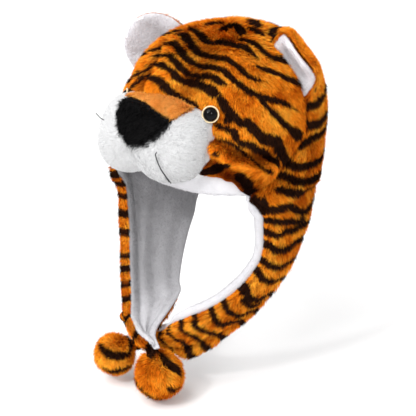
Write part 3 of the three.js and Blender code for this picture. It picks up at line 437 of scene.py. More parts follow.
class Stripes:
    def __init__(self, name):
        pts, half = [], []
        for side, (a, b, c), line in STRIPES:
            if side != name:
                continue
            rc, t = polyline(line, 14)
            P = spline(panels[name].grid, rc[:, 0], rc[:, 1])
            w = np.interp(t, [0, 0.5, 1], [a, b, c]) + {"face": 0.75 + 0.7 * smooth(5.5, 7.0, rc[:, 0]), "left": 1.4, "right": 1.25}[name]
            w = w * (1 + 0.14 * vnoise(P, 7, 9)) * (1 + 0.45 * smooth(3.4, 1.0, rc[:, 0]))
            rows, cols = rc[:, 0], rc[:, 1]
            last = 20 if name == "face" else 10
            for end, at_edge in ((t, cols[0] < 0.35 or cols[0] > last - 0.35), (1 - t, cols[-1] < 0.35 or cols[-1] > last - 0.35)):
                if not at_edge:
                    w = w * (0.25 + 0.75 * smooth(0, 0.10, end))
            pts.append(P)
            half.append(w)
        self.P, self.half = np.vstack(pts), np.concatenate(half)
        self.tree = kdtree.KDTree(len(self.P))
        for k, p in enumerate(self.P):
            self.tree.insert(p, k)
        self.tree.balance()

    def mask(self, Q, soft=0.7):
        """1 inside a stripe, 0 outside, with an edge made uneven by the tufts."""
        find, half = self.tree.find, self.half
        d = np.empty(len(Q))
        for k, q in enumerate(Q):
            _, n, dist = find(q)
            d[k] = dist - half[n]
        d = d + 0.55 * vnoise(Q, 3.2, 11) + 0.35 * vnoise(Q, 1.5, 12)
        return smooth(soft, -soft, d)


stripes = {n: Stripes(n) for n in panels}

# ---------------------------------------------------------------- meshes
root_col = bpy.context.scene.collection


def new_mesh(name, V, F, tint=None, uv=None, mat=None, nodes=(), smooth_shade=True):
    """A mesh object from points in the form's millimetres. F holds triangles or quads of one kind, or a list of both."""
    V = np.asarray(V, np.float32).reshape(-1, 3)
    groups = [np.asarray(f, np.int32) for f in (F if isinstance(F, list) else [F]) if len(f)]
    me = bpy.data.meshes.new(name)
    me.vertices.add(len(V))
    W = V.copy()
    W[:, 2] += LIFT
    me.vertices.foreach_set("co", (W * 0.001).ravel())
    loops = np.concatenate([g.ravel() for g in groups])
    sizes = np.concatenate([np.full(len(g), g.shape[1], np.int32) for g in groups])
    me.loops.add(len(loops))
    me.loops.foreach_set("vertex_index", loops)
    me.polygons.add(len(sizes))
    me.polygons.foreach_set("loop_start", np.concatenate([[0], np.cumsum(sizes)[:-1]]).astype(np.int32))
    me.polygons.foreach_set("loop_total", sizes)
    me.polygons.foreach_set("use_smooth", np.full(len(sizes), smooth_shade))
    me.update(calc_edges=True)
    if tint is not None:
        at = me.color_attributes.new("tint", "FLOAT_COLOR", "POINT")
        at.data.foreach_set("color", np.hstack([tint, np.ones((len(V), 1))]).astype(np.float32).ravel())
    if uv is not None:
        layer = me.uv_layers.new(name="OFBake")
        layer.data.foreach_set("uv", np.asarray(uv, np.float32)[loops].ravel())
    me.validate(clean_customdata=False)
    ob = bpy.data.objects.new(name, me)
    root_col.objects.link(ob)
    if mat:
        me.materials.append(mat)
    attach(ob, "root")
    if nodes:
        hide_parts(*nodes)
    return ob


def grid_faces(R, C, flip=False, base=0):
    i, j = np.meshgrid(np.arange(R - 1), np.arange(C - 1), indexing="ij")
    a = (i * C + j).ravel() + base
    f = np.stack([a, a + C, a + C + 1, a + 1], 1)
    return f[:, ::-1] if flip else f


def wall_mesh(outer, inner, flip):
    """A closed wall between two grids of points."""
    R, C = outer.shape[:2]
    n = R * C
    V = np.vstack([outer.reshape(-1, 3), inner.reshape(-1, 3)])
    F = [grid_faces(R, C, flip), grid_faces(R, C, not flip, n)]
    i, j = np.arange(R - 1), np.arange(C - 1)
    rims = [
        np.stack([i * C, i * C + n, (i + 1) * C + n, (i + 1) * C], 1),
        np.stack([i * C + C - 1, (i + 1) * C + C - 1, (i + 1) * C + C - 1 + n, i * C + C - 1 + n], 1),
        np.stack([j, j + 1, j + 1 + n, j + n], 1),
        np.stack([(R - 1) * C + j, (R - 1) * C + j + n, (R - 1) * C + j + 1 + n, (R - 1) * C + j + 1], 1),
    ]
    F += [r[:, ::-1] if flip else r for r in rims]
    return V, np.vstack(F)


def strands(name, P, N, D, length, width, lean, tint_root, tint_tip, rng, mat, nodes=(), bend=16.0, parts=3, uv=None, spin=35.0):
    """Pile: one tapered blade for each root, leaning from the normal N towards D. parts is 3 for a bent blade, 2 for a straight one and 1 for a needle."""
    n = len(P)
    D = unit(D - N * (D * N).sum(-1, keepdims=True))
    a = np.radians(np.clip(lean, 0, 86))[:, None]
    d0 = np.cos(a) * N + np.sin(a) * D
    b = np.radians(np.clip(lean + bend, 0, 93))[:, None]
    d1 = np.cos(b) * N + np.sin(b) * D
    across = unit(np.cross(d0, N + 0.02 * D))
    flat = np.radians(rng.normal(0, spin, n))[:, None]
    across = np.cos(flat) * across + np.sin(flat) * unit(np.cross(across, d0))
    L, w = length[:, None], width[:, None] / 2
    mid, tip = P + d0 * L * 0.55, P + d0 * L * 0.55 + d1 * L * 0.45
    tm = tint_root * 0.35 + tint_tip * 0.65
    k = np.arange(n)[:, None]
    if parts == 3:
        V = np.stack([P - across * w, P + across * w, mid - across * w * 0.8, mid + across * w * 0.8, tip], 1).reshape(-1, 3)
        F = [np.hstack([k * 5, k * 5 + 1, k * 5 + 3, k * 5 + 2]), np.hstack([k * 5 + 2, k * 5 + 3, k * 5 + 4])]
        T = np.stack([tint_root, tint_root, tm, tm, tint_tip], 1).reshape(-1, 3)
        m, off = 5, [(0, 0), (1, 0), (0, .6), (1, .6), (.5, 1)]
    elif parts == 2:
        V = np.stack([P - across * w, P + across * w, tip - across * w * 0.35, tip + across * w * 0.35], 1).reshape(-1, 3)
        F = [np.hstack([k * 4, k * 4 + 1, k * 4 + 3, k * 4 + 2])]
        T = np.stack([tint_root, tint_root, tint_tip, tint_tip], 1).reshape(-1, 3)
        m, off = 4, [(0, 0), (1, 0), (.3, 1), (.7, 1)]
    else:
        V = np.stack([P - across * w, P + across * w, tip], 1).reshape(-1, 3)
        F = [np.hstack([k * 3, k * 3 + 1, k * 3 + 2])]
        T = np.stack([tint_root, tint_root, tint_tip], 1).reshape(-1, 3)
        m, off = 3, [(0, 0), (1, 0), (.5, 1)]
    # the blade's face looks outwards
    face = np.cross(across, d0)
    turn = (face * N).sum(-1) < 0
    F = [np.where(turn[:, None], f[:, ::-1], f) for f in F]
    if uv is None:
        uv = np.stack([(np.arange(n) % 256 + 0.5) / 256, (np.arange(n) // 256 % 256 + 0.5) / 256], 1)
    U = np.repeat(np.asarray(uv), m, 0) + np.tile(np.array(off) * 0.003, (n, 1))
    return new_mesh(name, V, F, T, np.clip(U, 0, 1), mat, nodes)


# ---------------------------------------------------------------- materials
def material(name, build, **sockets):
    mat = bpy.data.materials.new(name)
    mat.use_nodes = True
    nt = mat.node_tree
    bsdf = nt.nodes["Principled BSDF"]
    for key, value in sockets.items():
        bsdf.inputs[key.replace("_", " ")].default_value = value
    build(nt, bsdf)
    return mat


def node(nt, kind, **values):
    n = nt.nodes.new(kind)
    for k, v in values.items():
        if k in n.inputs:
            n.inputs[k].default_value = v
        else:
            setattr(n, k, v)
    return n


def position(nt):
    return nt.nodes.new("ShaderNodeTexCoord").outputs["Object"]


def noise_node(nt, scale, detail=3.0, rough=0.55):
    n = node(nt, "ShaderNodeTexNoise")
    n.inputs["Scale"].default_value = scale
    n.inputs["Detail"].default_value = detail
    n.inputs["Roughness"].default_value = rough
    nt.links.new(position(nt), n.inputs["Vector"])
    return n.outputs["Fac"]


def ramp(nt, fac, lo, hi, a, b):
    r = node(nt, "ShaderNodeMapRange")
    r.inputs["From Min"].default_value, r.inputs["From Max"].default_value = lo, hi
    r.inputs["To Min"].default_value, r.inputs["To Max"].default_value = a, b
    nt.links.new(fac, r.inputs["Value"])
    return r.outputs["Result"]


def scaled(nt, colour, value):
    m = node(nt, "ShaderNodeVectorMath", operation="SCALE")
    nt.links.new(colour, m.inputs[0])
    nt.links.new(value, m.inputs["Scale"])
    return m.outputs["Vector"]


def tint_node(nt):
    n = nt.nodes.new("ShaderNodeVertexColor")
    n.layer_name = "tint"
    return n.outputs["Color"]


def pile(nt, bsdf, tuft=260.0, low=0.86, high=1.12, rough=(0.62, 0.85)):
    """Dyed pile: the strand's own colour, brighter and duller in tufts, with an uneven gloss."""
    v = ramp(nt, noise_node(nt, tuft), 0.3, 0.7, low, high)
    nt.links.new(scaled(nt, tint_node(nt), v), bsdf.inputs["Base Color"])
    nt.links.new(ramp(nt, noise_node(nt, tuft * 2.2), 0.3, 0.7, *rough), bsdf.inputs["Roughness"])


def cloth_bump(nt, bsdf, scale, strength, distance, detail=4.0):
    b = node(nt, "ShaderNodeBump")
    b.inputs["Strength"].default_value, b.inputs["Distance"].default_value = strength, distance
    nt.links.new(noise_node(nt, scale, detail, 0.6), b.inputs["Height"])
    nt.links.new(b.outputs["Normal"], bsdf.inputs["Normal"])


def backing(nt, bsdf):
    """The knitted ground of the plush with the roots of the pile."""
    pile(nt, bsdf, 420.0, 0.7, 1.0, (0.85, 0.98))
    cloth_bump(nt, bsdf, 900.0, 0.8, 0.0012)


def fleece_look(nt, bsdf):
    v = ramp(nt, noise_node(nt, 140.0, 5.0, 0.65), 0.3, 0.7, 0.93, 1.03)
    nt.links.new(scaled(nt, tint_node(nt), v), bsdf.inputs["Base Color"])
    nt.links.new(ramp(nt, noise_node(nt, 600.0), 0.3, 0.7, 0.82, 0.98), bsdf.inputs["Roughness"])
    cloth_bump(nt, bsdf, 520.0, 0.55, 0.0011, 6.0)


def gloss(nt, bsdf, colour, deep, scale=300.0, rough=(0.02, 0.06)):
    m = node(nt, "ShaderNodeMix", data_type="RGBA")
    m.inputs[6].default_value, m.inputs[7].default_value = (*colour, 1), (*deep, 1)
    nt.links.new(ramp(nt, noise_node(nt, scale), 0.35, 0.65, 0, 1), m.inputs[0])
    nt.links.new(m.outputs[2], bsdf.inputs["Base Color"])
    nt.links.new(ramp(nt, noise_node(nt, scale * 2), 0.3, 0.7, *rough), bsdf.inputs["Roughness"])


mat_fur = material("tiger_pile", pile, Specular_IOR_Level=0.03)
mat_backing = material("tiger_backing", backing, Specular_IOR_Level=0.02)
mat_white = material("white_pile", lambda nt, b: pile(nt, b, 200.0, 0.97, 1.02, (0.75, 0.95)), Specular_IOR_Level=0.1, Sheen_Weight=0.1, Sheen_Roughness=0.6)
mat_white_base = material("white_backing", fleece_look, Specular_IOR_Level=0.1, Sheen_Weight=0.1)
mat_fleece = material("fleece", fleece_look, Specular_IOR_Level=0.1, Sheen_Weight=0.15, Sheen_Roughness=0.6)
mat_black = material("black_pile", lambda nt, b: pile(nt, b, 300.0, 0.6, 1.5, (0.42, 0.6)), Specular_IOR_Level=0.09)
mat_eye = material("eye_black", lambda nt, b: gloss(nt, b, (0.001, 0.001, 0.0014), (0.0022, 0.002, 0.0024)), Specular_IOR_Level=0.13)
mat_ring = material("eye_ring", lambda nt, b: gloss(nt, b, (0.80, 0.66, 0.42), (0.68, 0.52, 0.30), 500.0, (0.2, 0.35)), Specular_IOR_Level=0.5)
mat_thread = material("thread", lambda nt, b: gloss(nt, b, (0.012, 0.011, 0.012), (0.03, 0.028, 0.03), 2500.0, (0.45, 0.7)), Specular_IOR_Level=0.3)

# ---------------------------------------------------------------- colours
BRIGHT, MID, DEEP = np.array([1.0, 0.43, 0.035]), np.array([0.94, 0.27, 0.010]), np.array([0.55, 0.095, 0.003])
DARK, DARK_BROWN = np.array([0.014, 0.006, 0.004]), np.array([0.060, 0.018, 0.006])


def tiger_tint(P, mask, rng, shade=1.0):
    """Root and tip colours of tiger plush at the points P, given how much of a stripe each is in."""
    shade = shade ** np.array([1.0, 1.4, 1.4])      # shaded plush is redder
    n = len(P)
    t = np.clip(0.56 + 0.42 * vnoise(P, 16, 21) + 0.40 * vnoise(P, 5, 22) + 0.20 * rng.normal(size=n), 0, 1)[:, None]
    orange = np.where(t > 0.5, MID + (BRIGHT - MID) * (t - 0.5) * 2, DEEP + (MID - DEEP) * t * 2)
    black = DARK + (DARK_BROWN - DARK) * np.clip(0.25 + 0.25 * rng.normal(size=n), 0, 1)[:, None]
    m = mask[:, None]
    tip = (orange * (1 - m) + black * m) * shade
    root = (orange * 0.5 * (1 - m) + black * 0.6 * m) * shade
    return root, tip


# ---------------------------------------------------------------- eyes' places, used to keep the pile off them
EYE_Z, EYE_AZ, EYE_RING, EYE_DOME = -70.0, 31.8, 7.35, 6.5


def eye_frame(s):
    p = head_at(s * math.radians(EYE_AZ), EYE_Z)
    q = head_at(s * math.radians(EYE_AZ + 4), EYE_Z)
    r = head_at(s * math.radians(EYE_AZ), EYE_Z - 6)
    n = np.cross(q - p, r - p) * -s
    n /= np.linalg.norm(n)
    if n[1] > 0:
        n = -n
    up = np.array([0, 0, 1.0])
    u = np.cross(n, up)
    u /= np.linalg.norm(u)
    return p, n, u, np.cross(u, n)


# ---------------------------------------------------------------- muzzle form
M_CENTRE, M_HALF, M_SQUARE = np.array([-5.0, -93, -96.5]), (62.0, 45.0, 38.0), 3.1


def muzzle_at(theta, lat, off=0.0):
    e = 2 / M_SQUARE

    def pw(v):
        return np.sign(v) * np.abs(v) ** e
    ct = np.cos(lat)
    x = (M_HALF[0] + off) * pw(ct) * pw(np.sin(theta))
    y = -(M_HALF[1] + off) * pw(ct) * pw(np.cos(theta))
    z = (M_HALF[2] + off) * pw(np.sin(lat))
    g = np.exp(-(x / 12) ** 2)
    y = y + 9 * g * smooth(8, -16, z) * smooth(0, -30, y)
    z = z - 3.5 * (1 - np.exp(-(x / 22) ** 2)) * smooth(4, -30, z) * smooth(75, 45, np.abs(x))
    y = y * (1 - 0.44 * smooth(-11, 31, z))
    return M_CENTRE + np.stack([x, y, z], -1)


def in_muzzle(P, grow=0.0):
    q = P - M_CENTRE
    lean = 1 - 0.44 * smooth(-11, 31, q[..., 2])
    return (np.abs(q[..., 0] / (M_HALF[0] + grow)) ** M_SQUARE + np.abs(q[..., 1] / lean / (M_HALF[1] + grow)) ** M_SQUARE
            + np.abs(q[..., 2] / (M_HALF[2] + grow)) ** M_SQUARE) < 1


def depth_in_head(P):
    """How far a point lies inside the head's skin, about its normal, positive inside."""
    phi, z = np.arctan2(P[..., 0], -P[..., 1]), np.minimum(P[..., 2], TOP - 0.5)
    r = np.hypot(P[..., 0], P[..., 1])
    s = head_at(phi, z)
    rs = np.hypot(s[..., 0], s[..., 1])
    s2 = head_at(phi, z - 1.0)
    slope = (np.hypot(s2[..., 0], s2[..., 1]) - rs)
    return (rs - r) / np.sqrt(1 + slope ** 2)


def keep_out_of_head(P, depth):
    """Points deeper in the head than that are brought up to it, along the way out."""
    P = P.copy()
    for _ in range(3):
        d = depth_in_head(P) - depth
        phi = np.arctan2(P[..., 0], -P[..., 1])
        out = np.stack([np.sin(phi), -np.cos(phi), 0 * phi], -1)
        P = P + out * np.maximum(d, 0)[..., None]
    return P


# ---------------------------------------------------------------- plush panels: backing and pile
def base_of(panel, every=2):
    rows = sorted(set(list(range(0, panel.P.shape[0], every)) + [panel.P.shape[0] - 1]))
    cols = sorted(set(list(range(0, panel.P.shape[1], every)) + [panel.P.shape[1] - 1]))
    P, N = panel.P[np.ix_(rows, cols)], panel.N[np.ix_(rows, cols)]
    inner = (panel.flat - panel.flatN * (PLUSH + hem_of(panel.name, panel.r, panel.c))[..., None])[np.ix_(rows, cols)]
    R, C = P.shape[:2]
    i, j = np.meshgrid(np.arange(R), np.arange(C), indexing="ij")
    edge = np.minimum(np.minimum(j, C - 1 - j), np.where(i < 3, 99, R - 1 - i))
    drop = BASE + np.interp(edge, [0, 1, 2], [2.0, 0.6, 0.0])
    outer = P - N * drop[..., None]
    V, F = wall_mesh(outer, inner, panel.sign < 0)
    m = stripes[panel.name].mask(panel.flat[np.ix_(rows, cols)].reshape(-1, 3))
    rng = np.random.default_rng(5)
    root, tip = tiger_tint(P.reshape(-1, 3), m, rng, 0.5)
    tint = np.vstack([tip, tip])
    uv = np.stack([(panel.c / panel.c.max())[np.ix_(rows, cols)].ravel(), (panel.r / panel.r.max())[np.ix_(rows, cols)].ravel()], 1)
    uv = np.vstack([uv * [0.48, 0.98] + 0.01, uv * [0.48, 0.98] + [0.51, 0.01]])
    node_name = {"face": "face_panel", "left": "side_left", "right": "side_right"}[panel.name]
    return new_mesh(node_name + "_backing", V, F, tint, uv, mat_backing, [node_name])


def pile_of(name, panel, count, seed, keep=None, length=6.4, width=0.62, parts=3):
    rng = np.random.default_rng(seed)
    r, c, P, N, T, U, flat = panel.sample(count, rng, keep)
    R1, C1 = panel.grid.shape[0] - 1, panel.grid.shape[1] - 1
    ok = ~in_muzzle(P - N * 2, -3) if panel.name == "face" else np.ones(len(P), bool)
    for s in (1, -1):
        e, n, _, _ = eye_frame(s)
        q = P - e
        ok &= np.linalg.norm(q - (q @ n)[:, None] * n, axis=1) + 40 * (np.abs(q @ n) > 25) > 8.2
    r, c, P, N, T, U, flat = (a[ok] for a in (r, c, P, N, T, U, flat))
    n = len(P)
    # the nap runs down the hat, turned a little by the tufts, and outwards over the free edges
    sway = 0.45 * vnoise(P, 14, 31) + 0.35 * vnoise(P, 5, 32) + 0.22 * rng.normal(size=n)
    D = T + U * sway[:, None]
    if panel.name != "face":
        front = smooth(0.8, 0.0, c) * smooth(10.0, 11.0, r)
        rear = smooth(9.4, 10.0, c) * smooth(9.5, 11, r)
        D = D + U * ((0.8 * rear if panel.name == "left" else -0.6 * rear) - 0.7 * front)[:, None]
    else:
        front = smooth(R1 - 0.7, R1, r)
        rear = 0 * front
    seam = np.minimum(c, C1 - c)
    seam = smooth(0.0, 0.30, seam) if panel.name == "face" else smooth(0.0, 0.22, seam)
    length = length * (0.78 + 0.22 * seam) * (1 - 0.45 * np.maximum(front, rear)) * (1 + 0.16 * vnoise(P, 6, 33) + 0.12 * rng.normal(size=n))
    lean = 50 + 10 * vnoise(P, 8, 34) + 9 * rng.normal(size=n) + 14 * front
    P0 = P - N * (BASE + 0.1 + 1.2 * np.maximum(front, rear))[:, None]
    if panel.name == "face":
        P0 = P0 - T * (2.2 * front)[:, None]
    else:
        P0 = P0 + U * (1.8 * front - 1.8 * rear)[:, None]
    if panel.name == "face":       # none lies over the muzzle
        tip = P0 + unit(D - N * (D * N).sum(-1, keepdims=True)) * (length * 0.85)[:, None] + N * (length * 0.5)[:, None]
        ok = ~(in_muzzle(tip, -0.5) | in_muzzle(P0 + (tip - P0) * 0.5, -0.5))
        r, c, P, N, T, U, D, P0, flat, seam, length, lean, front = (a[ok] for a in (r, c, P, N, T, U, D, P0, flat, seam, length, lean, front))
        n = len(P)
    look = flat + unit(D) * (length * 0.42)[:, None]
    mask = stripes[panel.name].mask(look)
    # painted shade: darker along the seams and in creases, and painted light on ridges, from the relief's cavity; the
    # noise is the uneven tone of the tufts
    shade = (0.62 + 0.38 * seam) * (1 + 0.12 * vnoise(P, 3.0, 35)) * np.clip(1 + 0.16 * panel.look_up(panel.cavity, r, c), 0.45, 1.18)
    if panel.name == "face":       # painted shadow under the roll of the cheek, and painted shade in the crease above it
        az, z = np.degrees(np.arctan2(flat[:, 0], -flat[:, 1])), flat[:, 2]
        zl = np.interp(az, [27, 36, 44, 55, 64, 72], [-86, -91.5, -102, -109, -112, -115])
        shade = shade * (1 - 0.6 * smooth(8.9, 9.5, r) * smooth(16.0, 17.2, c))
        shade = shade * (1 - 0.40 * smooth(zl - 14, zl - 19, z) * smooth(22, 28, az) * smooth(52, 46, az))
        shade = shade * (1 - 0.26 * np.exp(-((z - zl - 1) / 5.5) ** 2) * smooth(28, 36, az) * smooth(74, 64, az))
    root, tip = tiger_tint(P, mask, rng, shade[:, None])
    uv = np.stack([c / C1, r / R1], 1) * 0.99
    w = width * (0.8 + 0.4 * rng.random(n))
    return strands(name, P0, N, D, length, w, lean, root, tip, rng, mat_fur, parts=parts, uv=uv)


def rim_pile(name, side, count, seed, wrap):
    """The pile of a flap's front edge: over the edge itself, and by wrap columns round it on the inside."""
    panel, rng = panels[side], np.random.default_rng(seed)
    R1 = panel.grid.shape[0] - 1
    k = np.arange(count)
    r = 10.2 + (R1 - 10.2) * (k + rng.random(count)) / count
    across = rng.random(count) * (1 + wrap * 0.9)            # 0 to 1 over the edge, then inwards
    t = np.clip(across, 0, 1)[:, None]
    inward = np.clip(across - 1, 0, None) / 0.9
    c = inward * 0.42
    P, N, T, U, flat, flatN = panel.at(r, np.zeros(count))
    _, _, _, _, flat_c, flatN_c = panel.at(r, c)
    depth0, depth = hem_of(side, r), hem_of(side, r, c)
    top, low = P - N * (BASE + 1.0), flat - flatN * (PLUSH - 0.6 + depth0)[:, None]
    root = np.where(across[:, None] <= 1, top * (1 - t) + low * t + U * 1.2, flat_c - flatN_c * (PLUSH - 0.6 + depth)[:, None])
    out = unit(N * (0.8 - 1.1 * t) - U * 1.0)
    slope = np.arctan2(depth0, 8.0)[:, None]
    inside = unit(-flatN_c * np.cos(slope) - U * np.sin(slope) * 0.6)
    out = np.where(across[:, None] <= 1, out, inside)
    D = T * 1.0 - N * 0.4 + U * 0.5 * (across[:, None] > 1)
    sway = 0.4 * vnoise(root, 6, 41) + 0.25 * rng.normal(size=count)
    D = D + np.cross(out, T) * sway[:, None]
    length = 3.6 * (1 + 0.15 * vnoise(root, 5, 42) + 0.1 * rng.normal(size=count))
    mask = stripes[side].mask(flat + T * 2)
    a, b = tiger_tint(root, mask, rng, 0.97)
    return strands(name, root, out, D, length, np.full(count, 0.64), 42 + 10 * rng.normal(size=count), a, b, rng, mat_fur,
                   uv=np.stack([across * 0.05, r / R1], 1) * 0.99)


for p in panels.values():
    base_of(p)
half = panels["face"].c
N_SCALE = 1.0
pile_of("face_pile_left", panels["face"], int(58000 * N_SCALE), 101, keep=(half >= 10) * 1.0)
pile_of("face_pile_right", panels["face"], int(37000 * N_SCALE), 102, keep=(half < 10) * 1.0)
pile_of("side_left_pile", panels["left"], int(57000 * N_SCALE), 103)
pile_of("side_right_pile", panels["right"], int(37000 * N_SCALE), 104)
rim_pile("flap_left_rim", "left", int(4500 * N_SCALE), 105, 0.0)
rim_pile("flap_right_rim", "right", int(7500 * N_SCALE), 106, 0.8)


def lining(side, every=2):
    panel = panels[side]
    grid, s = panel.grid.copy(), panel.sign
    R, C = grid.shape[:2]
    if side == "face":
        grid[R - 1, :, 2] -= by_azimuth(BROW_PROUD, np.arctan2(grid[R - 1, :, 0], -grid[R - 1, :, 1]))
    else:
        for i in range(11, R):
            d = grid[i, 0] - grid[i, 1]
            step = np.linalg.norm(d)
            move = RIM_PROUD[side] if side == "left" else -min(-RIM_PROUD[side], 0.4 * step) * (1.0 if i > 11 else 0.5)
            if side == "right" and i > 19:       # over the crossing its whole width shows
                move = 2.5
            grid[i, 0] = grid[i, 0] + d / step * move
            if side == "right":     # the fleece shows past the rear edge
                e = grid[i, C - 1] - grid[i, C - 2]
                grid[i, C - 1] = grid[i, C - 1] + e / np.linalg.norm(e) * np.interp(i, [11, 13, 16, 18, 20, 21], [0, 1, 2, 1, 4, 4])
    rows = panel.r[::every, 0]
    rows = np.append(rows, R - 1.0) if rows[-1] < R - 1 else rows
    if side == "right":         # it stops short of the pompom
        rows = np.append(rows[rows < R - 2.1], R - 2.0)
    if side == "face":      # finer towards the brow roll
        rows = np.unique(np.concatenate([rows[rows < R - 2.3], np.linspace(R - 2.3, R - 1, 16)]))
        cols = np.linspace(0, C - 1, 81)
    else:
        cols = np.concatenate([np.linspace(0, 1.6, 15), np.linspace(1.6, C - 1, 33)[1:]])
    rr, cc = np.meshgrid(rows, cols, indexing="ij")
    P = spline(grid, rr, cc)
    N = unit(np.cross(np.gradient(P, axis=0), np.gradient(P, axis=1))) * s
    N[0] = [0, 0, 1]
    # the roll: thicker and rounded at the free edge
    if side == "face":
        width = np.linalg.norm(grid[R - 1] - grid[R - 2], axis=1).mean()
        x = (R - 1 - rr) * width
        on = smooth(0, 2.5, np.minimum(cc, C - 1 - cc))
    else:
        w = np.linalg.norm(grid[:, 0] - grid[:, 1], axis=1)
        x = cc * np.interp(rr, np.arange(R), w)
        on = smooth(9.6, 11.4, rr)
    T = LINING + on * RIM_ROLL[side] * np.exp(-((x - 4.5) / 6.5) ** 2)
    T = T * (1 + 0.10 * vnoise(P, 15, 51) * on)
    q = np.clip(x / (T * 0.5), 0, 1)
    close = np.where(on > 0.05, np.sqrt(np.maximum(0.0, 1 - (1 - q) ** 2)), 1.0)
    close = 1 - on * (1 - np.maximum(close, 0.04))
    mid = -(PLUSH + GAP + T / 2)
    if side != "face":       # soft folds along the flap, and a slack surface
        across = cc / 10
        w = smooth(10.5, 13, rr) * smooth(0.12, 0.3, across) * smooth(1.0, 0.9, across)
        folds = 1.5 * np.sin(2 * math.pi * (across * 2.6 + 0.16 * np.sin(rr * 0.55) + 0.3)) + 1.1 * vnoise(np.stack([cc * 1.1, rr * 0.30, 0 * rr], -1), 1.0, 53)
        mid = mid - w * (0.8 + folds)
    mid = mid - 0.5 * vnoise(P, 12, 54)
    outer, inner = P + N * (mid + T / 2 * close)[..., None], P + N * (mid - T / 2 * close)[..., None]
    V, F = wall_mesh(outer, inner, s < 0)
    n = len(V)
    base = np.array([0.70, 0.69, 0.715])
    shade = 1 + 0.02 * vnoise(V, 10, 55)
    if side != "right":
        shade = shade * 0.90
    if side == "right":             # painted shade: greyer where the head shelters it
        shade = shade * np.interp(np.concatenate([rr.ravel(), rr.ravel()]), [10, 13, 16, 19], [0.46, 0.44, 0.58, 0.84])
    tint = base * shade[:, None] * np.ones((n, 1))
    uvg = np.stack([cc / cc.max() * 0.48 + 0.01, rr / rr.max() * 0.98 + 0.01], -1).reshape(-1, 2)
    uv = np.vstack([uvg, uvg + [0.5, 0]])
    cell = np.linalg.norm(np.cross(P[1:, :-1] - P[:-1, :-1], P[:-1, 1:] - P[:-1, :-1]), axis=-1)
    ob = new_mesh("lining_" + side + "_fleece", V, F, tint, uv, mat_fleece, ["lining_" + side])
    # short fuzz over the roll and the inner face
    rng = np.random.default_rng(60 + len(side))
    count = int({"face": 9000, "left": 16000, "right": 22000}[side] * N_SCALE)
    a = np.linalg.norm(np.cross(inner[1:, :-1] - inner[:-1, :-1], inner[:-1, 1:] - inner[:-1, :-1]), axis=-1)
    show = (rr[:-1, :-1] > (R - 3.2 if side == "face" else 9.5)) * (1 + 2.0 * (x[:-1, :-1] < 12))
    tot = np.cumsum((a * show).ravel())
    cell = np.minimum(np.searchsorted(tot, (np.arange(count) + rng.random(count)) / count * tot[-1]), len(tot) - 1)
    i, j = np.divmod(cell, a.shape[1])
    u, v = rng.random(count)[:, None], rng.random(count)[:, None]

    def at(A):
        return (A[i, j] * (1 - u) + A[i + 1, j] * u) * (1 - v) + (A[i, j + 1] * (1 - u) + A[i + 1, j + 1] * u) * v
    face_n = unit(np.cross(np.gradient(inner, axis=0), np.gradient(inner, axis=1))) * -s
    Pn, Nn = at(inner), unit(at(face_n))
    edge = at(x[..., None])[:, 0] < 3.0
    swap = edge & (rng.random(count) < 0.45)
    face_o = -unit(np.cross(np.gradient(outer, axis=0), np.gradient(outer, axis=1))) * -s
    Pn[swap], Nn[swap] = at(outer)[swap], unit(at(face_o))[swap]
    D = unit(at(np.gradient(P, axis=0))) + 0.8 * rng.normal(size=(count, 3))
    tn = np.tile(base, (count, 1)) * (1 + 0.05 * rng.normal(size=count))[:, None]
    # the same painted shade on the right lining's fuzz
    if side == "right":
        tn = tn * np.interp(at(rr[..., None])[:, 0], [10, 13, 16, 19], [0.46, 0.44, 0.58, 0.84])[:, None]
    strands("lining_" + side + "_fuzz", Pn - Nn * 0.1, Nn, D, 1.7 * (1 + 0.25 * rng.normal(size=count)), np.full(count, 0.5), 45 + 16 * rng.normal(size=count),
            tn * 0.96, tn, rng, mat_fleece, parts=1, spin=50)
    return ob


for side in ("face", "left", "right"):
    lining(side)

# ---------------------------------------------------------------- muzzle
TUCK = np.array([-4.0, -131.5, -113.0])
CREASES = [(np.array([-1.5, -136.0, -101.0]), 0.55), (np.array([5.5, -134.5, -121.0]), 0.6), (np.array([-13.0, -134.0, -117.5]), 0.45)]


def creases(P):
    """From 0 to 1 near the tuck and its creases."""
    g = np.exp(-(np.linalg.norm(P - TUCK, axis=-1) / 4.5) ** 2)
    for end, depth in CREASES:
        d = end - TUCK
        t = np.clip(((P - TUCK) @ d) / (d @ d), 0, 1)
        g = np.maximum(g, depth * (1 - 0.6 * t) * np.exp(-(np.linalg.norm(P - TUCK - t[..., None] * d, axis=-1) / 3.0) ** 2))
    return g


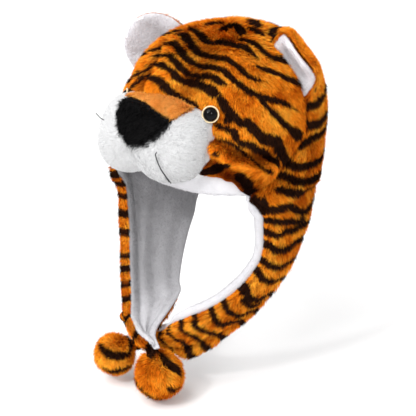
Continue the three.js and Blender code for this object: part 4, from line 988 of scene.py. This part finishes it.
def muzzle():
    M, Nn = 60, 116
    lat = np.radians(90 - 180 * (np.arange(1, M) / M))
    th = np.arange(Nn) / Nn * 2 * math.pi
    la, tt = np.meshgrid(lat, th, indexing="ij")
    body = muzzle_at(tt, la, -0.9)
    # a small tuck under the nose with the creases that it pulls, and slow lumps of the stuffing
    out = unit(body - M_CENTRE)
    pull = creases(body)
    body = body - out * (4.2 * pull)[..., None] + out * (1.1 * vnoise(body, 26, 71))[..., None]
    body = keep_out_of_head(body, 6.9)
    R, C = body.shape[:2]
    top, bot = body[0].mean(0), body[-1].mean(0)
    V = np.vstack([body.reshape(-1, 3), top, bot])
    i, j = np.meshgrid(np.arange(R - 1), np.arange(C), indexing="ij")
    a, b = (i * C + j).ravel(), (i * C + (j + 1) % C).ravel()
    F4 = np.stack([a, a + C, b + C, b], 1)
    k = np.arange(C)
    F3 = np.vstack([np.stack([np.full(C, R * C), k, (k + 1) % C], 1), np.stack([np.full(C, R * C + 1), (R - 1) * C + (k + 1) % C, (R - 1) * C + k], 1)])
    white = np.array([0.65, 0.65, 0.655])
    # painted shade in the tuck under the nose and along its creases
    tint = np.tile(white, (len(V), 1)) * (1 + 0.02 * vnoise(V, 14, 72) - 0.22 * creases(V))[:, None]
    tint[in_nose(V, (BRIDGE,))] = (0.30, 0.10, 0.02)
    tint[in_nose(V, (NOSE,))] = (0.012, 0.012, 0.013)
    ob = new_mesh("muzzle_form", V, [F4, F3], tint, None, mat_white_base, ["muzzle"])
    # its short pile
    rng = np.random.default_rng(120)
    count = int(30000 * N_SCALE)
    nxt = np.roll(body, -1, axis=1)
    area = np.linalg.norm(np.cross(body[1:] - body[:-1], nxt[:-1] - body[:-1]), axis=-1)
    n = np.cross(np.gradient(body, axis=0), np.roll(body, -1, 1) - np.roll(body, 1, 1))
    n = unit(n)
    if (n * out).sum(-1).mean() < 0:
        n = -n
    show = (depth_in_head(body)[:-1] < -1.2) * 1.0
    tot = np.cumsum((area * show).ravel())
    cell = np.minimum(np.searchsorted(tot, (np.arange(count) + rng.random(count)) / count * tot[-1]), len(tot) - 1)
    i, j = np.divmod(cell, C)
    u, v = rng.random(count)[:, None], rng.random(count)[:, None]
    jn = (j + 1) % C

    def at(A):
        return (A[i, j] * (1 - u) + A[i + 1, j] * u) * (1 - v) + (A[i, jn] * (1 - u) + A[i + 1, jn] * u) * v
    P, N = at(body), unit(at(n))
    away = P - np.array([0, -135, -88.0])          # the nap runs away from the nose
    D = unit(away - N * (away * N).sum(-1, keepdims=True)) + 0.32 * rng.normal(size=(count, 3))
    ok = ~in_nose(P)
    P, N, D = P[ok], N[ok], D[ok]
    near = smooth(9, 1, np.abs(depth_in_head(P)))         # it is shorter, and lies forward, along the seam to the head
    D = unit(D) * (1 - near)[:, None] + np.array([0, -1.0, 0]) * near[:, None]
    m = len(P)
    # the same painted shade in the tuck and its creases, on the pile
    tn = white * (1 + 0.02 * vnoise(P, 8, 73) + 0.02 * rng.normal(size=m) - 0.16 * creases(P))[:, None]
    strands("muzzle_pile", P - N * 0.2, N, D, 2.6 * (1 - 0.45 * near) * (1 + 0.12 * rng.normal(size=m)), np.full(m, 0.66), 63 + 8 * rng.normal(size=m), tn * 0.93, tn, rng,
            mat_white, parts=2, spin=40)
    return body, n


NOSE = [(-35.5, -75), (-35.5, -68), (-30, -61.5), (-14.7, -61.0), (-1.6, -62.8), (10.7, -66.4), (23, -69.6), (34, -72.0), (33.0, -78.5), (30.0, -84.5),
        (25.8, -90.0), (19.4, -95.0), (9.5, -98.5), (-1, -100.5), (-10.6, -96.5), (-21.8, -90.3), (-29.7, -82.6)]
BRIDGE = [(-33, -61.2), (-30, -58.4), (-15.2, -55.2), (5.2, -53), (21.5, -54.3), (30.9, -56.8), (39.5, -61.5), (43.5, -64.3), (41, -67.8), (36.5, -71.8),
          (33.5, -74), (23, -71), (10.7, -68), (-1.6, -64), (-14.7, -62.5), (-29.5, -63)]


def inside(poly, x, y):
    p = np.array(poly, float)
    hit = np.zeros(np.shape(x), bool)
    for (x0, y0), (x1, y1) in zip(p, np.roll(p, -1, 0)):
        hit ^= ((y0 > y) != (y1 > y)) & (x < (x1 - x0) * (y - y0) / (y1 - y0 + 1e-12) + x0)
    return hit


def in_nose(P, polys=(NOSE, BRIDGE)):
    x, z = P[..., 0], P[..., 2]
    return np.any([inside(p, x, z) for p in polys], axis=0) & (P[..., 1] < -96)


muzzle_body, muzzle_n = muzzle()


def patch(name, cad_node, mat, tint, sink, voxel=0.0016):
    """A sewn patch: the CAD solid's own form, rounded and sunk a little under its pile."""
    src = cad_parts[cad_node]
    ob = bpy.data.objects.new(name, src.data.copy())
    ob.data.materials.clear()
    root_col.objects.link(ob)
    for kind, values in (("REMESH", {"mode": "VOXEL", "voxel_size": voxel}), ("SMOOTH", {"factor": 0.6, "iterations": 6}), ("DISPLACE", {"strength": -sink, "mid_level": 0.0})):
        m = ob.modifiers.new(kind.lower(), kind)
        for k, v in values.items():
            setattr(m, k, v)
    dg = bpy.context.evaluated_depsgraph_get()
    me = bpy.data.meshes.new_from_object(ob.evaluated_get(dg))
    ob.modifiers.clear()
    ob.data = me
    me.name = name
    me.materials.clear()
    me.materials.append(mat)
    n = len(me.vertices)
    at = me.color_attributes.new("tint", "FLOAT_COLOR", "POINT")
    at.data.foreach_set("color", np.tile(np.array([*tint, 1.0], np.float32), n))
    me.polygons.foreach_set("use_smooth", np.ones(len(me.polygons), bool))
    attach(ob, "root")
    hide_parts(cad_node)
    me.calc_loop_triangles()
    return ob


def mesh_roots(ob, count, rng, want=None):
    """Roots over a mesh, in the form's millimetres: point and normal."""
    me = ob.data
    me.calc_loop_triangles()
    V = np.empty(len(me.vertices) * 3)
    me.vertices.foreach_get("co", V)
    V = V.reshape(-1, 3) * 1000 - [0, 0, LIFT]
    NV = np.empty(len(me.vertices) * 3)
    me.vertices.foreach_get("normal", NV)
    NV = NV.reshape(-1, 3)
    tri = np.empty(len(me.loop_triangles) * 3, np.int32)
    me.loop_triangles.foreach_get("vertices", tri)
    tri = tri.reshape(-1, 3)
    a, b, c = V[tri[:, 0]], V[tri[:, 1]], V[tri[:, 2]]
    area = np.linalg.norm(np.cross(b - a, c - a), axis=1)
    if want is not None:
        area = area * want((a + b + c) / 3, unit(NV[tri].mean(1)))
    tot = np.cumsum(area)
    k = np.minimum(np.searchsorted(tot, (np.arange(count) + rng.random(count)) / count * tot[-1]), len(tot) - 1)
    u, v = rng.random(count), rng.random(count)
    over = u + v > 1
    u, v = np.where(over, 1 - u, u)[:, None], np.where(over, 1 - v, v)[:, None]
    P = a[k] * (1 - u - v) + b[k] * u + c[k] * v
    N = unit(NV[tri[k, 0]] * (1 - u - v) + NV[tri[k, 1]] * u + NV[tri[k, 2]] * v)
    return P, N


# nose: long black pile, combed down to a point under it
nose = patch("nose_patch", "nose", mat_black, (0.008, 0.008, 0.009), 0.0022)
rng = np.random.default_rng(130)
P, N = mesh_roots(nose, int(8000 * N_SCALE), rng, lambda p, n: (n[:, 1] < -0.1) | (n[:, 2] > 0.35))
P2, N2 = mesh_roots(bpy.data.objects["muzzle_form"], int(3000 * N_SCALE), rng, lambda p, n: in_nose(p, (NOSE,)) * 1.0)
P, N = np.vstack([P, P2]), np.vstack([N, N2])
aim = np.array([0.0, -142, -112.0]) - P
lump = vnoise(P, 7, 74)
edge = np.zeros(len(P))
for (x0, z0), (x1, z1) in zip(NOSE, NOSE[1:] + NOSE[:1]):
    q, d = P[:, [0, 2]] - [x0, z0], np.array([x1 - x0, z1 - z0])
    near = np.linalg.norm(q - np.clip(q @ d / (d @ d), 0, 1)[:, None] * d, axis=1)
    edge = np.maximum(edge, smooth(7.5, 2.0, near))
outward = unit(P - np.array([0.0, P[:, 1].mean(), -76.0]))
D = unit(aim) + 0.8 * (edge * smooth(-101, -88, P[:, 2]))[:, None] * outward + 0.30 * rng.normal(size=P.shape) + 0.5 * np.stack([vnoise(P, 10, 75), 0 * lump, vnoise(P, 10, 76)], -1)
t = np.clip(0.5 + 0.5 * rng.normal(size=len(P)), 0, 1)[:, None]
tip = np.array([0.002, 0.002, 0.002]) * (1 - t) + np.array([0.008, 0.0075, 0.008]) * t
low = smooth(-90, -101, P[:, 2])
strands("nose_pile", P - N * 0.3, N, D, (5.8 + 1.6 * lump + 0.6 * low) * (1 + 0.15 * rng.normal(size=len(P))), np.full(len(P), 0.5), 52 + 14 * rng.normal(size=len(P)) + 8 * lump,
        tip * 0.7, tip, rng, mat_black, bend=22)

# bridge: short tan velvet
bridge = patch("bridge_patch", "bridge", mat_backing, (0.85, 0.36, 0.07), 0.0012)
rng = np.random.default_rng(140)
P, N = mesh_roots(bridge, int(7000 * N_SCALE), rng, lambda p, n: (n[:, 2] > 0.1) | (n[:, 1] < -0.2))
P2, N2 = mesh_roots(bpy.data.objects["muzzle_form"], int(2500 * N_SCALE), rng, lambda p, n: in_nose(p, (BRIDGE,)) * 1.0)
P, N = np.vstack([P, P2]), np.vstack([N, N2])
t = np.clip(0.5 + 0.35 * vnoise(P, 6, 77) + 0.2 * rng.normal(size=len(P)), 0, 1)[:, None]
tip = np.array([0.80, 0.30, 0.045]) * (1 - t) + np.array([1.0, 0.52, 0.13]) * t
D = np.array([0, -1.0, -0.5]) + 0.7 * rng.normal(size=P.shape)
strands("bridge_pile", P - N * 0.2, N, D, 2.6 * (1 + 0.2 * rng.normal(size=len(P))), np.full(len(P), 0.5), 46 + 14 * rng.normal(size=len(P)), tip * 0.8, tip, rng, mat_fur,
        parts=2, spin=45)


# ---------------------------------------------------------------- eyes
def lathe(profile, s, steps=56, tube=None):
    p, n, u, w = eye_frame(s)
    th = np.arange(steps) / steps * 2 * math.pi
    prof = np.array(profile)
    ring = np.cos(th)[:, None, None] * u + np.sin(th)[:, None, None] * w
    V = p + ring * prof[None, :, 0, None] + n * prof[None, :, 1, None]
    K = len(prof)
    i, j = np.meshgrid(np.arange(steps), np.arange(K if tube else K - 1), indexing="ij")
    a, b = (i * K + j).ravel(), ((i + 1) % steps * K + j).ravel()
    c, d = ((i + 1) % steps * K + (j + 1) % K).ravel(), (i * K + (j + 1) % K).ravel()
    return V.reshape(-1, 3), np.stack([a, b, c, d], 1)


for side, s in (("left", 1), ("right", -1)):
    prof = [(0.02, -1.5), (4.0, -1.5), (EYE_DOME - 0.3, -1.2), (EYE_DOME, 0.0), (EYE_DOME, 2.6)]
    prof += [(EYE_DOME * math.cos(a) ** 0.9, 2.6 + 4.8 * math.sin(a)) for a in np.radians(np.linspace(8, 89.6, 16))]
    V, F = lathe(prof, s)
    flip = s > 0
    eye = new_mesh(f"eye_{side}_dome", V, F, None, None, mat_eye, [f"eye_{side}"])
    bm_fix = eye.data
    V, F = lathe([(EYE_RING + 0.75 * math.cos(a), 3.1 + 0.85 * math.sin(a)) for a in np.linspace(0, 2 * math.pi, 17)[:-1]], s, 64, True)
    ring = new_mesh(f"eye_{side}_ring", V, F, None, None, mat_ring, [f"eye_ring_{side}"])
    for ob in (eye, ring):
        import bmesh
        bm = bmesh.new()
        bm.from_mesh(ob.data)
        bmesh.ops.remove_doubles(bm, verts=bm.verts, dist=1e-6)
        bmesh.ops.recalc_face_normals(bm, faces=bm.faces)
        bm.to_mesh(ob.data)
        bm.free()

# ---------------------------------------------------------------- ears
EARS = {  # ends of the root line, lean, height, cup across, curl forward, and how far the tip is drawn along the root
    "left": {"inner": (56.5, -3.5, -14.2), "outer": (92.5, 12.8, -64.3), "lean": (0.24, -0.04, 0.64), "height": 37.0, "cup": -1.2, "curl": 30.5, "skew": -0.33},
    "right": {"inner": (-52.5, -7.0, -12.0), "outer": (-91.2, -18.4, -72.8), "lean": (-0.21, -0.04, 0.62), "height": 44.0, "cup": 7.3, "curl": 18.2, "skew": -0.07},
}


def ear_grid(side, grow, R=34, C=41):
    e = EARS[side]
    a, b = np.array(e["inner"], float), np.array(e["outer"], float)
    mid, half_v = (a + b) / 2, (b - a) / 2 * grow
    along = half_v / np.linalg.norm(half_v)
    up = np.array(e["lean"], float)
    up = up - along * (up @ along)
    up = up / np.linalg.norm(up) * e["height"] * grow
    face = np.cross(half_v, up)
    face /= np.linalg.norm(face)
    if face[1] > 0:
        face = -face
    v = np.linspace(-0.35, 1, R)[:, None]
    w = np.where(v <= 0, 1, np.maximum(0, 1 - np.clip(v, 0, 1) ** 2.4) ** (1 / 2.4))
    w = np.maximum(w, 0.12)
    u = np.linspace(-1, 1, C)[None, :]
    curl = e["curl"] * np.maximum(0, v - 0.2) ** 2 / 0.64
    wave = 0.9 * np.sin(2.4 * u * w + 5 * v) * np.clip(v, 0, 1)
    P = mid + (u * w + e["skew"] * v)[..., None] * half_v + (v * np.ones_like(u))[..., None] * up + face * (e["cup"] * (u * u * w * w - 0.35) + curl + wave)[..., None]
    N = unit(np.cross(np.gradient(P, axis=0), np.gradient(P, axis=1)))
    if N[R // 2, C // 2] @ face < 0:
        N = -N
    edge = np.maximum(np.abs(u) * np.ones_like(v), np.clip(v, 0, 1) * np.ones_like(u))
    return P, N, edge, up / np.linalg.norm(up)


EAR_SCALE = {"left": (0.995, 0.86), "right": (0.965, 1.0)}      # the plush behind, the fleece inside


def ear(side):
    P, N, edge, up = ear_grid(side, EAR_SCALE[side][0])
    if side == "right":
        P = P - N * 2.2
    round_off = 0.2 + 0.8 * np.sqrt(np.maximum(0, 1 - edge ** 6))
    back = P - N * (6.5 * round_off)[..., None]
    front = P - N * 0.2
    back, front = keep_out_of_head(back, 5.0), keep_out_of_head(front, 5.0)
    g = np.gradient(P, axis=0), np.gradient(P, axis=1)
    flip = (np.cross(g[0], g[1]) * N).sum(-1).mean() < 0
    V, F = wall_mesh(front, back, flip)
    rng = np.random.default_rng(150 if side == "left" else 151)
    low = smooth(0.42, 0.2, (np.arange(P.shape[0]) / (P.shape[0] - 1))[:, None] * np.ones(P.shape[1]))
    mask = (low * (vnoise(P, 12, 81) > -0.2)).ravel()
    a, b = tiger_tint(V, np.concatenate([mask, mask]), rng, 0.6)
    ob = new_mesh(f"ear_{side}_back", V, F, b, None, mat_backing, [f"ear_{side}"])
    Pr, Nr = mesh_roots(ob, int(7000 * N_SCALE), rng, lambda p, n: ((n @ N[15, 20]) < (0.3 if side == "left" else -0.75)) * (depth_in_head(p) < 2))
    D = -up * 1.2 + 0.5 * rng.normal(size=Pr.shape) - N[15, 20] * 0.1
    m = smooth(14, 8, (Pr - (np.array(EARS[side]["inner"]) + EARS[side]["outer"]) / 2) @ up) * (vnoise(Pr, 12, 81) > -0.25)
    a, b = tiger_tint(Pr, m, rng, 1.0)
    strands(f"ear_{side}_pile", Pr - Nr * 0.2, Nr, D, 4.4 * (1 + 0.15 * rng.normal(size=len(Pr))), np.full(len(Pr), 0.6), 50 + 12 * rng.normal(size=len(Pr)), a, b, rng, mat_fur, parts=2)
    # the white inside
    P, N, edge, up = ear_grid(side, EAR_SCALE[side][1])
    round_off = np.sqrt(np.maximum(0.02, 1 - edge ** 8))
    lump = 0.7 * vnoise(P, 9, 82) + 0.4 * vnoise(P, 4, 83)
    front = keep_out_of_head(P + N * (-0.6 + 3.8 * round_off + lump * round_off)[..., None], 5.0)
    back = keep_out_of_head(P + N * (-0.6 - 1.6 * round_off * smooth(0.75, 0.95, edge))[..., None], 5.0)
    V, F = wall_mesh(front, back, flip)
    # painted shade: the far, right ear's fleece is painted darker than the near, left one's
    white = np.array([0.92, 0.90, 0.93]) if side == "left" else np.array([0.77, 0.76, 0.79])
    # painted shade: darker in the middle of the cup and towards its root, lighter towards the rim
    cup = (0.72 + 0.28 * smooth(0.35, 0.9, edge) * smooth(0.15, 0.6, np.linspace(0, 1, P.shape[0]))[:, None]).ravel()
    cup = np.concatenate([cup, cup])[:, None]
    ob = new_mesh(f"ear_{side}_fleece", V, F, white * cup, None, mat_fleece, [f"ear_lining_{side}"])
    Pr, Nr = mesh_roots(ob, int(6000 * N_SCALE), rng, lambda p, n: ((n @ N[15, 20]) > -0.2) * (depth_in_head(p) < 2))
    tree = kdtree.KDTree(len(V))
    for k, p in enumerate(V):
        tree.insert(p, k)
    tree.balance()
    near = np.array([tree.find(p)[1] for p in Pr])
    tn = white * cup[near] * (1 + 0.03 * rng.normal(size=len(Pr)))[:, None]
    strands(f"ear_{side}_fuzz", Pr - Nr * 0.1, Nr, up + 0.8 * rng.normal(size=Pr.shape), 2.0 * (1 + 0.2 * rng.normal(size=len(Pr))), np.full(len(Pr), 0.55),
            48 + 14 * rng.normal(size=len(Pr)), tn * 0.95, tn, rng, mat_fleece, parts=1, spin=50)


ear("left")
ear("right")

# ---------------------------------------------------------------- pompoms
POMPOM = {"left": {"at": (-73, -97, -351), "r": 21.5}, "right": {"at": (-6, -98, -351), "r": 25.0}}
BALL_STRIPES = {  # lines over the ball as directions from its centre, with half-widths in mm
    "left": [(3.2, [(-0.24, -0.7, 0.67), (0.2, -0.83, 0.53), (0.59, -0.7, 0.41), (0.85, -0.36, 0.37), (0.95, 0.05, 0.31)]),
             (2.4, [(0.19, -0.93, -0.32), (0.42, -0.75, -0.51), (0.79, -0.42, -0.44), (0.94, 0.12, -0.33)]),
             (2.6, [(0.03, 0.59, 0.8), (0.21, 0.7, 0.68), (0.87, 0.21, 0.44)]),
             (2.8, [(-0.69, -0.31, 0.65), (-0.9, 0.1, 0.4), (-0.7, 0.6, 0.3), (0, 0.95, 0.2)]),
             (2.8, [(-0.8, -0.5, -0.3), (-0.5, 0.5, -0.7), (0.3, 0.8, -0.5)])],
    "right": [(4.0, [(0.16, -0.02, 0.99), (0.6, -0.12, 0.79), (0.82, 0.08, 0.56), (0.91, 0.35, 0.2)]),
              (2.3, [(0.89, -0.44, -0.11), (0.93, -0.19, -0.31), (0.91, 0.2, -0.36)]),
              (2.8, [(-0.75, -0.62, 0.25), (-0.69, -0.71, 0.0), (-0.35, -0.9, -0.25), (0.1, -0.85, -0.5), (0.35, -0.45, -0.82), (0.48, -0.19, -0.86)]),
              (3.0, [(-0.4, 0.5, 0.75), (-0.9, 0.4, 0.1), (-0.6, 0.5, -0.6), (0.0, 0.3, -0.95)]),
              (3.0, [(0.3, 0.8, 0.5), (0.4, 0.9, -0.1), (0.2, 0.7, -0.7)])],
}


def pompom(side, count, seed):
    c, r0 = np.array(POMPOM[side]["at"], float), POMPOM[side]["r"]
    R, C = 40, 64
    la, th = np.meshgrid(np.linspace(0.5, 179.5, R) * math.pi / 180, np.arange(C) / C * 2 * math.pi, indexing="ij")
    d = np.stack([np.sin(la) * np.cos(th), np.sin(la) * np.sin(th), np.cos(la)], -1)
    rad = r0 - 3.2 + 1.0 * vnoise(d * 10, 6, 91)
    V = np.vstack([(c + d * rad[..., None]).reshape(-1, 3), c + [0, 0, r0 - 3.2], c - [0, 0, r0 - 3.2]])
    i, j = np.meshgrid(np.arange(R - 1), np.arange(C), indexing="ij")
    a, b = (i * C + j).ravel(), (i * C + (j + 1) % C).ravel()
    k = np.arange(C)
    F4 = np.stack([a, a + C, b + C, b], 1)
    F3 = np.vstack([np.stack([np.full(C, R * C), k, (k + 1) % C], 1), np.stack([np.full(C, R * C + 1), (R - 1) * C + (k + 1) % C, (R - 1) * C + k], 1)])
    line, half_w = [], []
    for w, pts in BALL_STRIPES[side]:
        p, t = polyline(pts, 12)
        line.append(unit(p) * r0)
        half_w.append(w * {"left": 1.6, "right": 1.25}[side] * (0.5 + 0.5 * np.sin(np.clip(t, 0.02, 0.98) * math.pi) ** 0.5))
    line, half_w = np.vstack(line), np.concatenate(half_w)

    def mask(q):
        dist = np.linalg.norm(q[:, None, :] - line[None], axis=-1) - half_w
        e = dist.min(1) + 0.6 * vnoise(q, 4, 92)
        return smooth(0.8, -0.8, e)
    rng = np.random.default_rng(seed)
    q = unit(V - c) * r0
    _, tint = tiger_tint(V, mask(q), rng, 0.55)
    ob = new_mesh(f"pompom_{side}_core", V, [F4, F3], tint, None, mat_backing, [f"pompom_{side}"])
    n = int(count * N_SCALE)
    k = np.arange(n) + 0.5
    z = 1 - 2 * k / n
    ph = k * 2.399963
    N = np.stack([np.sqrt(1 - z * z) * np.cos(ph), np.sqrt(1 - z * z) * np.sin(ph), z], -1)
    N = unit(N + 0.03 * rng.normal(size=N.shape))
    P = c + N * (r0 - 3.3 + 1.0 * vnoise(N * 10, 6, 91))[:, None]
    D = np.array([0.25, -0.2, -1.0]) + 0.9 * np.stack([vnoise(P, 9, 93), vnoise(P, 9, 94), vnoise(P, 9, 95)], -1) + 0.3 * rng.normal(size=N.shape)
    tang = unit(D - N * (D * N).sum(-1, keepdims=True))
    m = mask(N * r0 + tang * 2.6)
    a, b = tiger_tint(P, m, rng, (1 + 0.2 * vnoise(P, 3.2, 98))[:, None])
    strands(f"pompom_{side}_pile", P, N, D, 7.0 * (1 + 0.18 * vnoise(P, 5, 96) + 0.13 * rng.normal(size=n)), np.full(n, 0.62), 44 + 12 * vnoise(P, 6, 97) + 10 * rng.normal(size=n),
            a, b, rng, mat_fur)
    return ob


pom_l = pompom("left", 10000, 160)
pom_r = pompom("right", 13000, 161)


# ---------------------------------------------------------------- whiskers
def thread(name, pts, radius, mat):
    cu = bpy.data.curves.new(name, "CURVE")
    cu.dimensions = "3D"
    cu.bevel_depth = radius * 0.001
    cu.bevel_resolution = 3
    cu.use_fill_caps = True
    cu.resolution_u = 8
    sp = cu.splines.new("POLY")
    p, _ = polyline(pts, 6) if len(pts) > 2 else (np.array(pts, float), None)
    sp.points.add(len(p) - 1)
    for k, q in enumerate(p):
        sp.points[k].co = (q[0] * 0.001, q[1] * 0.001, (q[2] + LIFT) * 0.001, 1)
    tmp = bpy.data.objects.new(name + "_curve", cu)
    root_col.objects.link(tmp)
    me = bpy.data.meshes.new_from_object(tmp.evaluated_get(bpy.context.evaluated_depsgraph_get()))
    bpy.data.objects.remove(tmp)
    ob = bpy.data.objects.new(name, me)
    me.name = name
    root_col.objects.link(ob)
    me.materials.clear()
    me.materials.append(mat)
    me.polygons.foreach_set("use_smooth", np.ones(len(me.polygons), bool))
    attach(ob, "root")
    me.calc_loop_triangles()
    return ob


thread("whisker_left", [(32.6, -135.5, -99.6), (33.6, -137.6, -102.0), (37.6, -135.4, -114.0), (43.0, -128.0, -128.4)], 0.42, mat_thread)
thread("whisker_left_2", [(32.2, -135.5, -99.8), (33.1, -137.6, -102.2), (37.0, -135.8, -113.5), (41.9, -129.2, -127.4)], 0.3, mat_thread)
thread("whisker_right", [(-50.6, -121.5, -86.6), (-53.0, -124.2, -84.4), (-57.6, -126.0, -79.9)], 0.42, mat_thread)

# ---------------------------------------------------------------- the twisted tuft where the right flap's edge is gathered
def knot(name, centre, count, seed):
    a = np.linspace(0, 1, 46)
    turn, rad = 2 * math.pi * 1.75 * a + 0.6, 4.6 - 3.3 * a
    u, w, n = np.array([0.743, 0.669, 0.0]), np.array([-0.218, 0.242, 0.9455]), np.array([0.633, -0.703, 0.326])
    path = np.array(centre) + (rad * np.cos(turn))[:, None] * u + (rad * np.sin(turn))[:, None] * w + (4.5 * a - 1.5)[:, None] * n
    t = unit(np.gradient(path, axis=0))
    side = unit(np.cross(t, n))
    rise = np.cross(side, t)
    th = np.arange(12) / 12 * 2 * math.pi
    tube = 1.7 * np.sqrt(np.clip(1 - (2 * a - 1) ** 8, 0.05, 1))
    ring = path[:, None] + tube[:, None, None] * (np.cos(th)[None, :, None] * side[:, None] + np.sin(th)[None, :, None] * rise[:, None])
    R, C = ring.shape[:2]
    i, j = np.meshgrid(np.arange(R - 1), np.arange(C), indexing="ij")
    F4 = np.stack([(i * C + j).ravel(), (i * C + (j + 1) % C).ravel(), ((i + 1) * C + (j + 1) % C).ravel(), ((i + 1) * C + j).ravel()], 1)
    k = np.arange(C)
    V = np.vstack([ring.reshape(-1, 3), path[:1], path[-1:]])
    F3 = np.vstack([np.stack([np.full(C, R * C), (k + 1) % C, k], 1), np.stack([np.full(C, R * C + 1), (R - 1) * C + k, (R - 1) * C + (k + 1) % C], 1)])
    rng = np.random.default_rng(seed)
    _, tint = tiger_tint(V, (np.sin(V @ [0.9, 0.5, 0.8]) > 0.55) * 1.0, rng, 0.7)
    ob = new_mesh(name, V, [F4, F3], tint, None, mat_backing)
    P, N = mesh_roots(ob, count, rng)
    a, b = tiger_tint(P, (np.sin(P @ [0.9, 0.5, 0.8]) > 0.5) * 1.0, rng, 1.0)
    strands(name + "_pile", P - N * 0.1, N, np.array([0.1, -0.3, -1.0]) + 0.7 * rng.normal(size=P.shape), 2.3 * (1 + 0.2 * rng.normal(size=count)), np.full(count, 0.5), 45 + 12 * rng.normal(size=count),
            a, b, rng, mat_fur, parts=2)


knot("flap_right_knot", (-60.5, -92.5, -305.0), int(1600 * N_SCALE), 170)

# ---------------------------------------------------------------- floor, light, camera
FLOOR_Z = -0.3735
me = bpy.data.meshes.new("floor")
me.from_pydata([(-9, -9, FLOOR_Z), (9, -9, FLOOR_Z), (9, 9, FLOOR_Z), (-9, 9, FLOOR_Z)], [], [(0, 1, 2, 3)])
floor = bpy.data.objects.new("floor", me)
root_col.objects.link(floor)


def paper(nt, bsdf):
    v = ramp(nt, noise_node(nt, 3.0), 0.3, 0.7, 0.955, 0.965)
    c = node(nt, "ShaderNodeCombineColor")
    for k in range(3):
        nt.links.new(v, c.inputs[k])
    nt.links.new(c.outputs[0], bsdf.inputs["Base Color"])


me.materials.append(material("floor", paper, Roughness=0.9, Specular_IOR_Level=0.05))

CAM_AZ, CAM_EL, CAM_DIST = math.radians(42), math.radians(19), 1.100
TARGET = Vector((0, -0.030, -0.178))
back = Vector((math.sin(CAM_AZ) * math.cos(CAM_EL), -math.cos(CAM_AZ) * math.cos(CAM_EL), math.sin(CAM_EL)))
cam_data = bpy.data.cameras.new("camera")
cam_data.sensor_width, cam_data.lens = 36.0, 93.76
cam_data.clip_start, cam_data.clip_end = 0.05, 40
cam = bpy.data.objects.new("camera", cam_data)
root_col.objects.link(cam)
cam.location = TARGET + back * CAM_DIST
cam.rotation_mode = "QUATERNION"
cam.rotation_quaternion = (-back).to_track_quat("-Z", "Y")
bpy.context.scene.camera = cam


def area_light(name, at, to, size, watts, colour=(1, 1, 1)):
    d = bpy.data.lights.new(name, "AREA")
    d.shape, d.size, d.energy, d.color = "DISK", size, watts, colour
    o = bpy.data.objects.new(name, d)
    root_col.objects.link(o)
    o.location = at
    o.rotation_mode = "QUATERNION"
    o.rotation_quaternion = (Vector(to) - Vector(at)).to_track_quat("-Z", "Y")
    return o


area_light("key", (0.10, -1.30, 0.75), (0, -0.03, -0.10), 0.20, 6.5)
area_light("side", (1.25, -0.95, 0.60), (0, 0, -0.12), 0.20, 4.3)
sun_data = bpy.data.lights.new("sun", "SUN")
sun_data.energy, sun_data.angle = 2.05, math.radians(45)
sun = bpy.data.objects.new("sun", sun_data)
root_col.objects.link(sun)
sun.rotation_mode = "QUATERNION"
sun_from = Vector((0.0, -0.80, 1.0))
sun.rotation_quaternion = (-sun_from).to_track_quat("-Z", "Y")

world = bpy.data.worlds.new("studio")
world.use_nodes = True
world.node_tree.nodes["Background"].inputs["Color"].default_value = (1, 1, 1, 1)
world.node_tree.nodes["Background"].inputs["Strength"].default_value = 0.76
bpy.context.scene.world = world
bpy.context.scene.view_settings.view_transform = "Standard"
bpy.context.scene.view_settings.look = "None"
bpy.context.scene.view_settings.exposure = 0.0
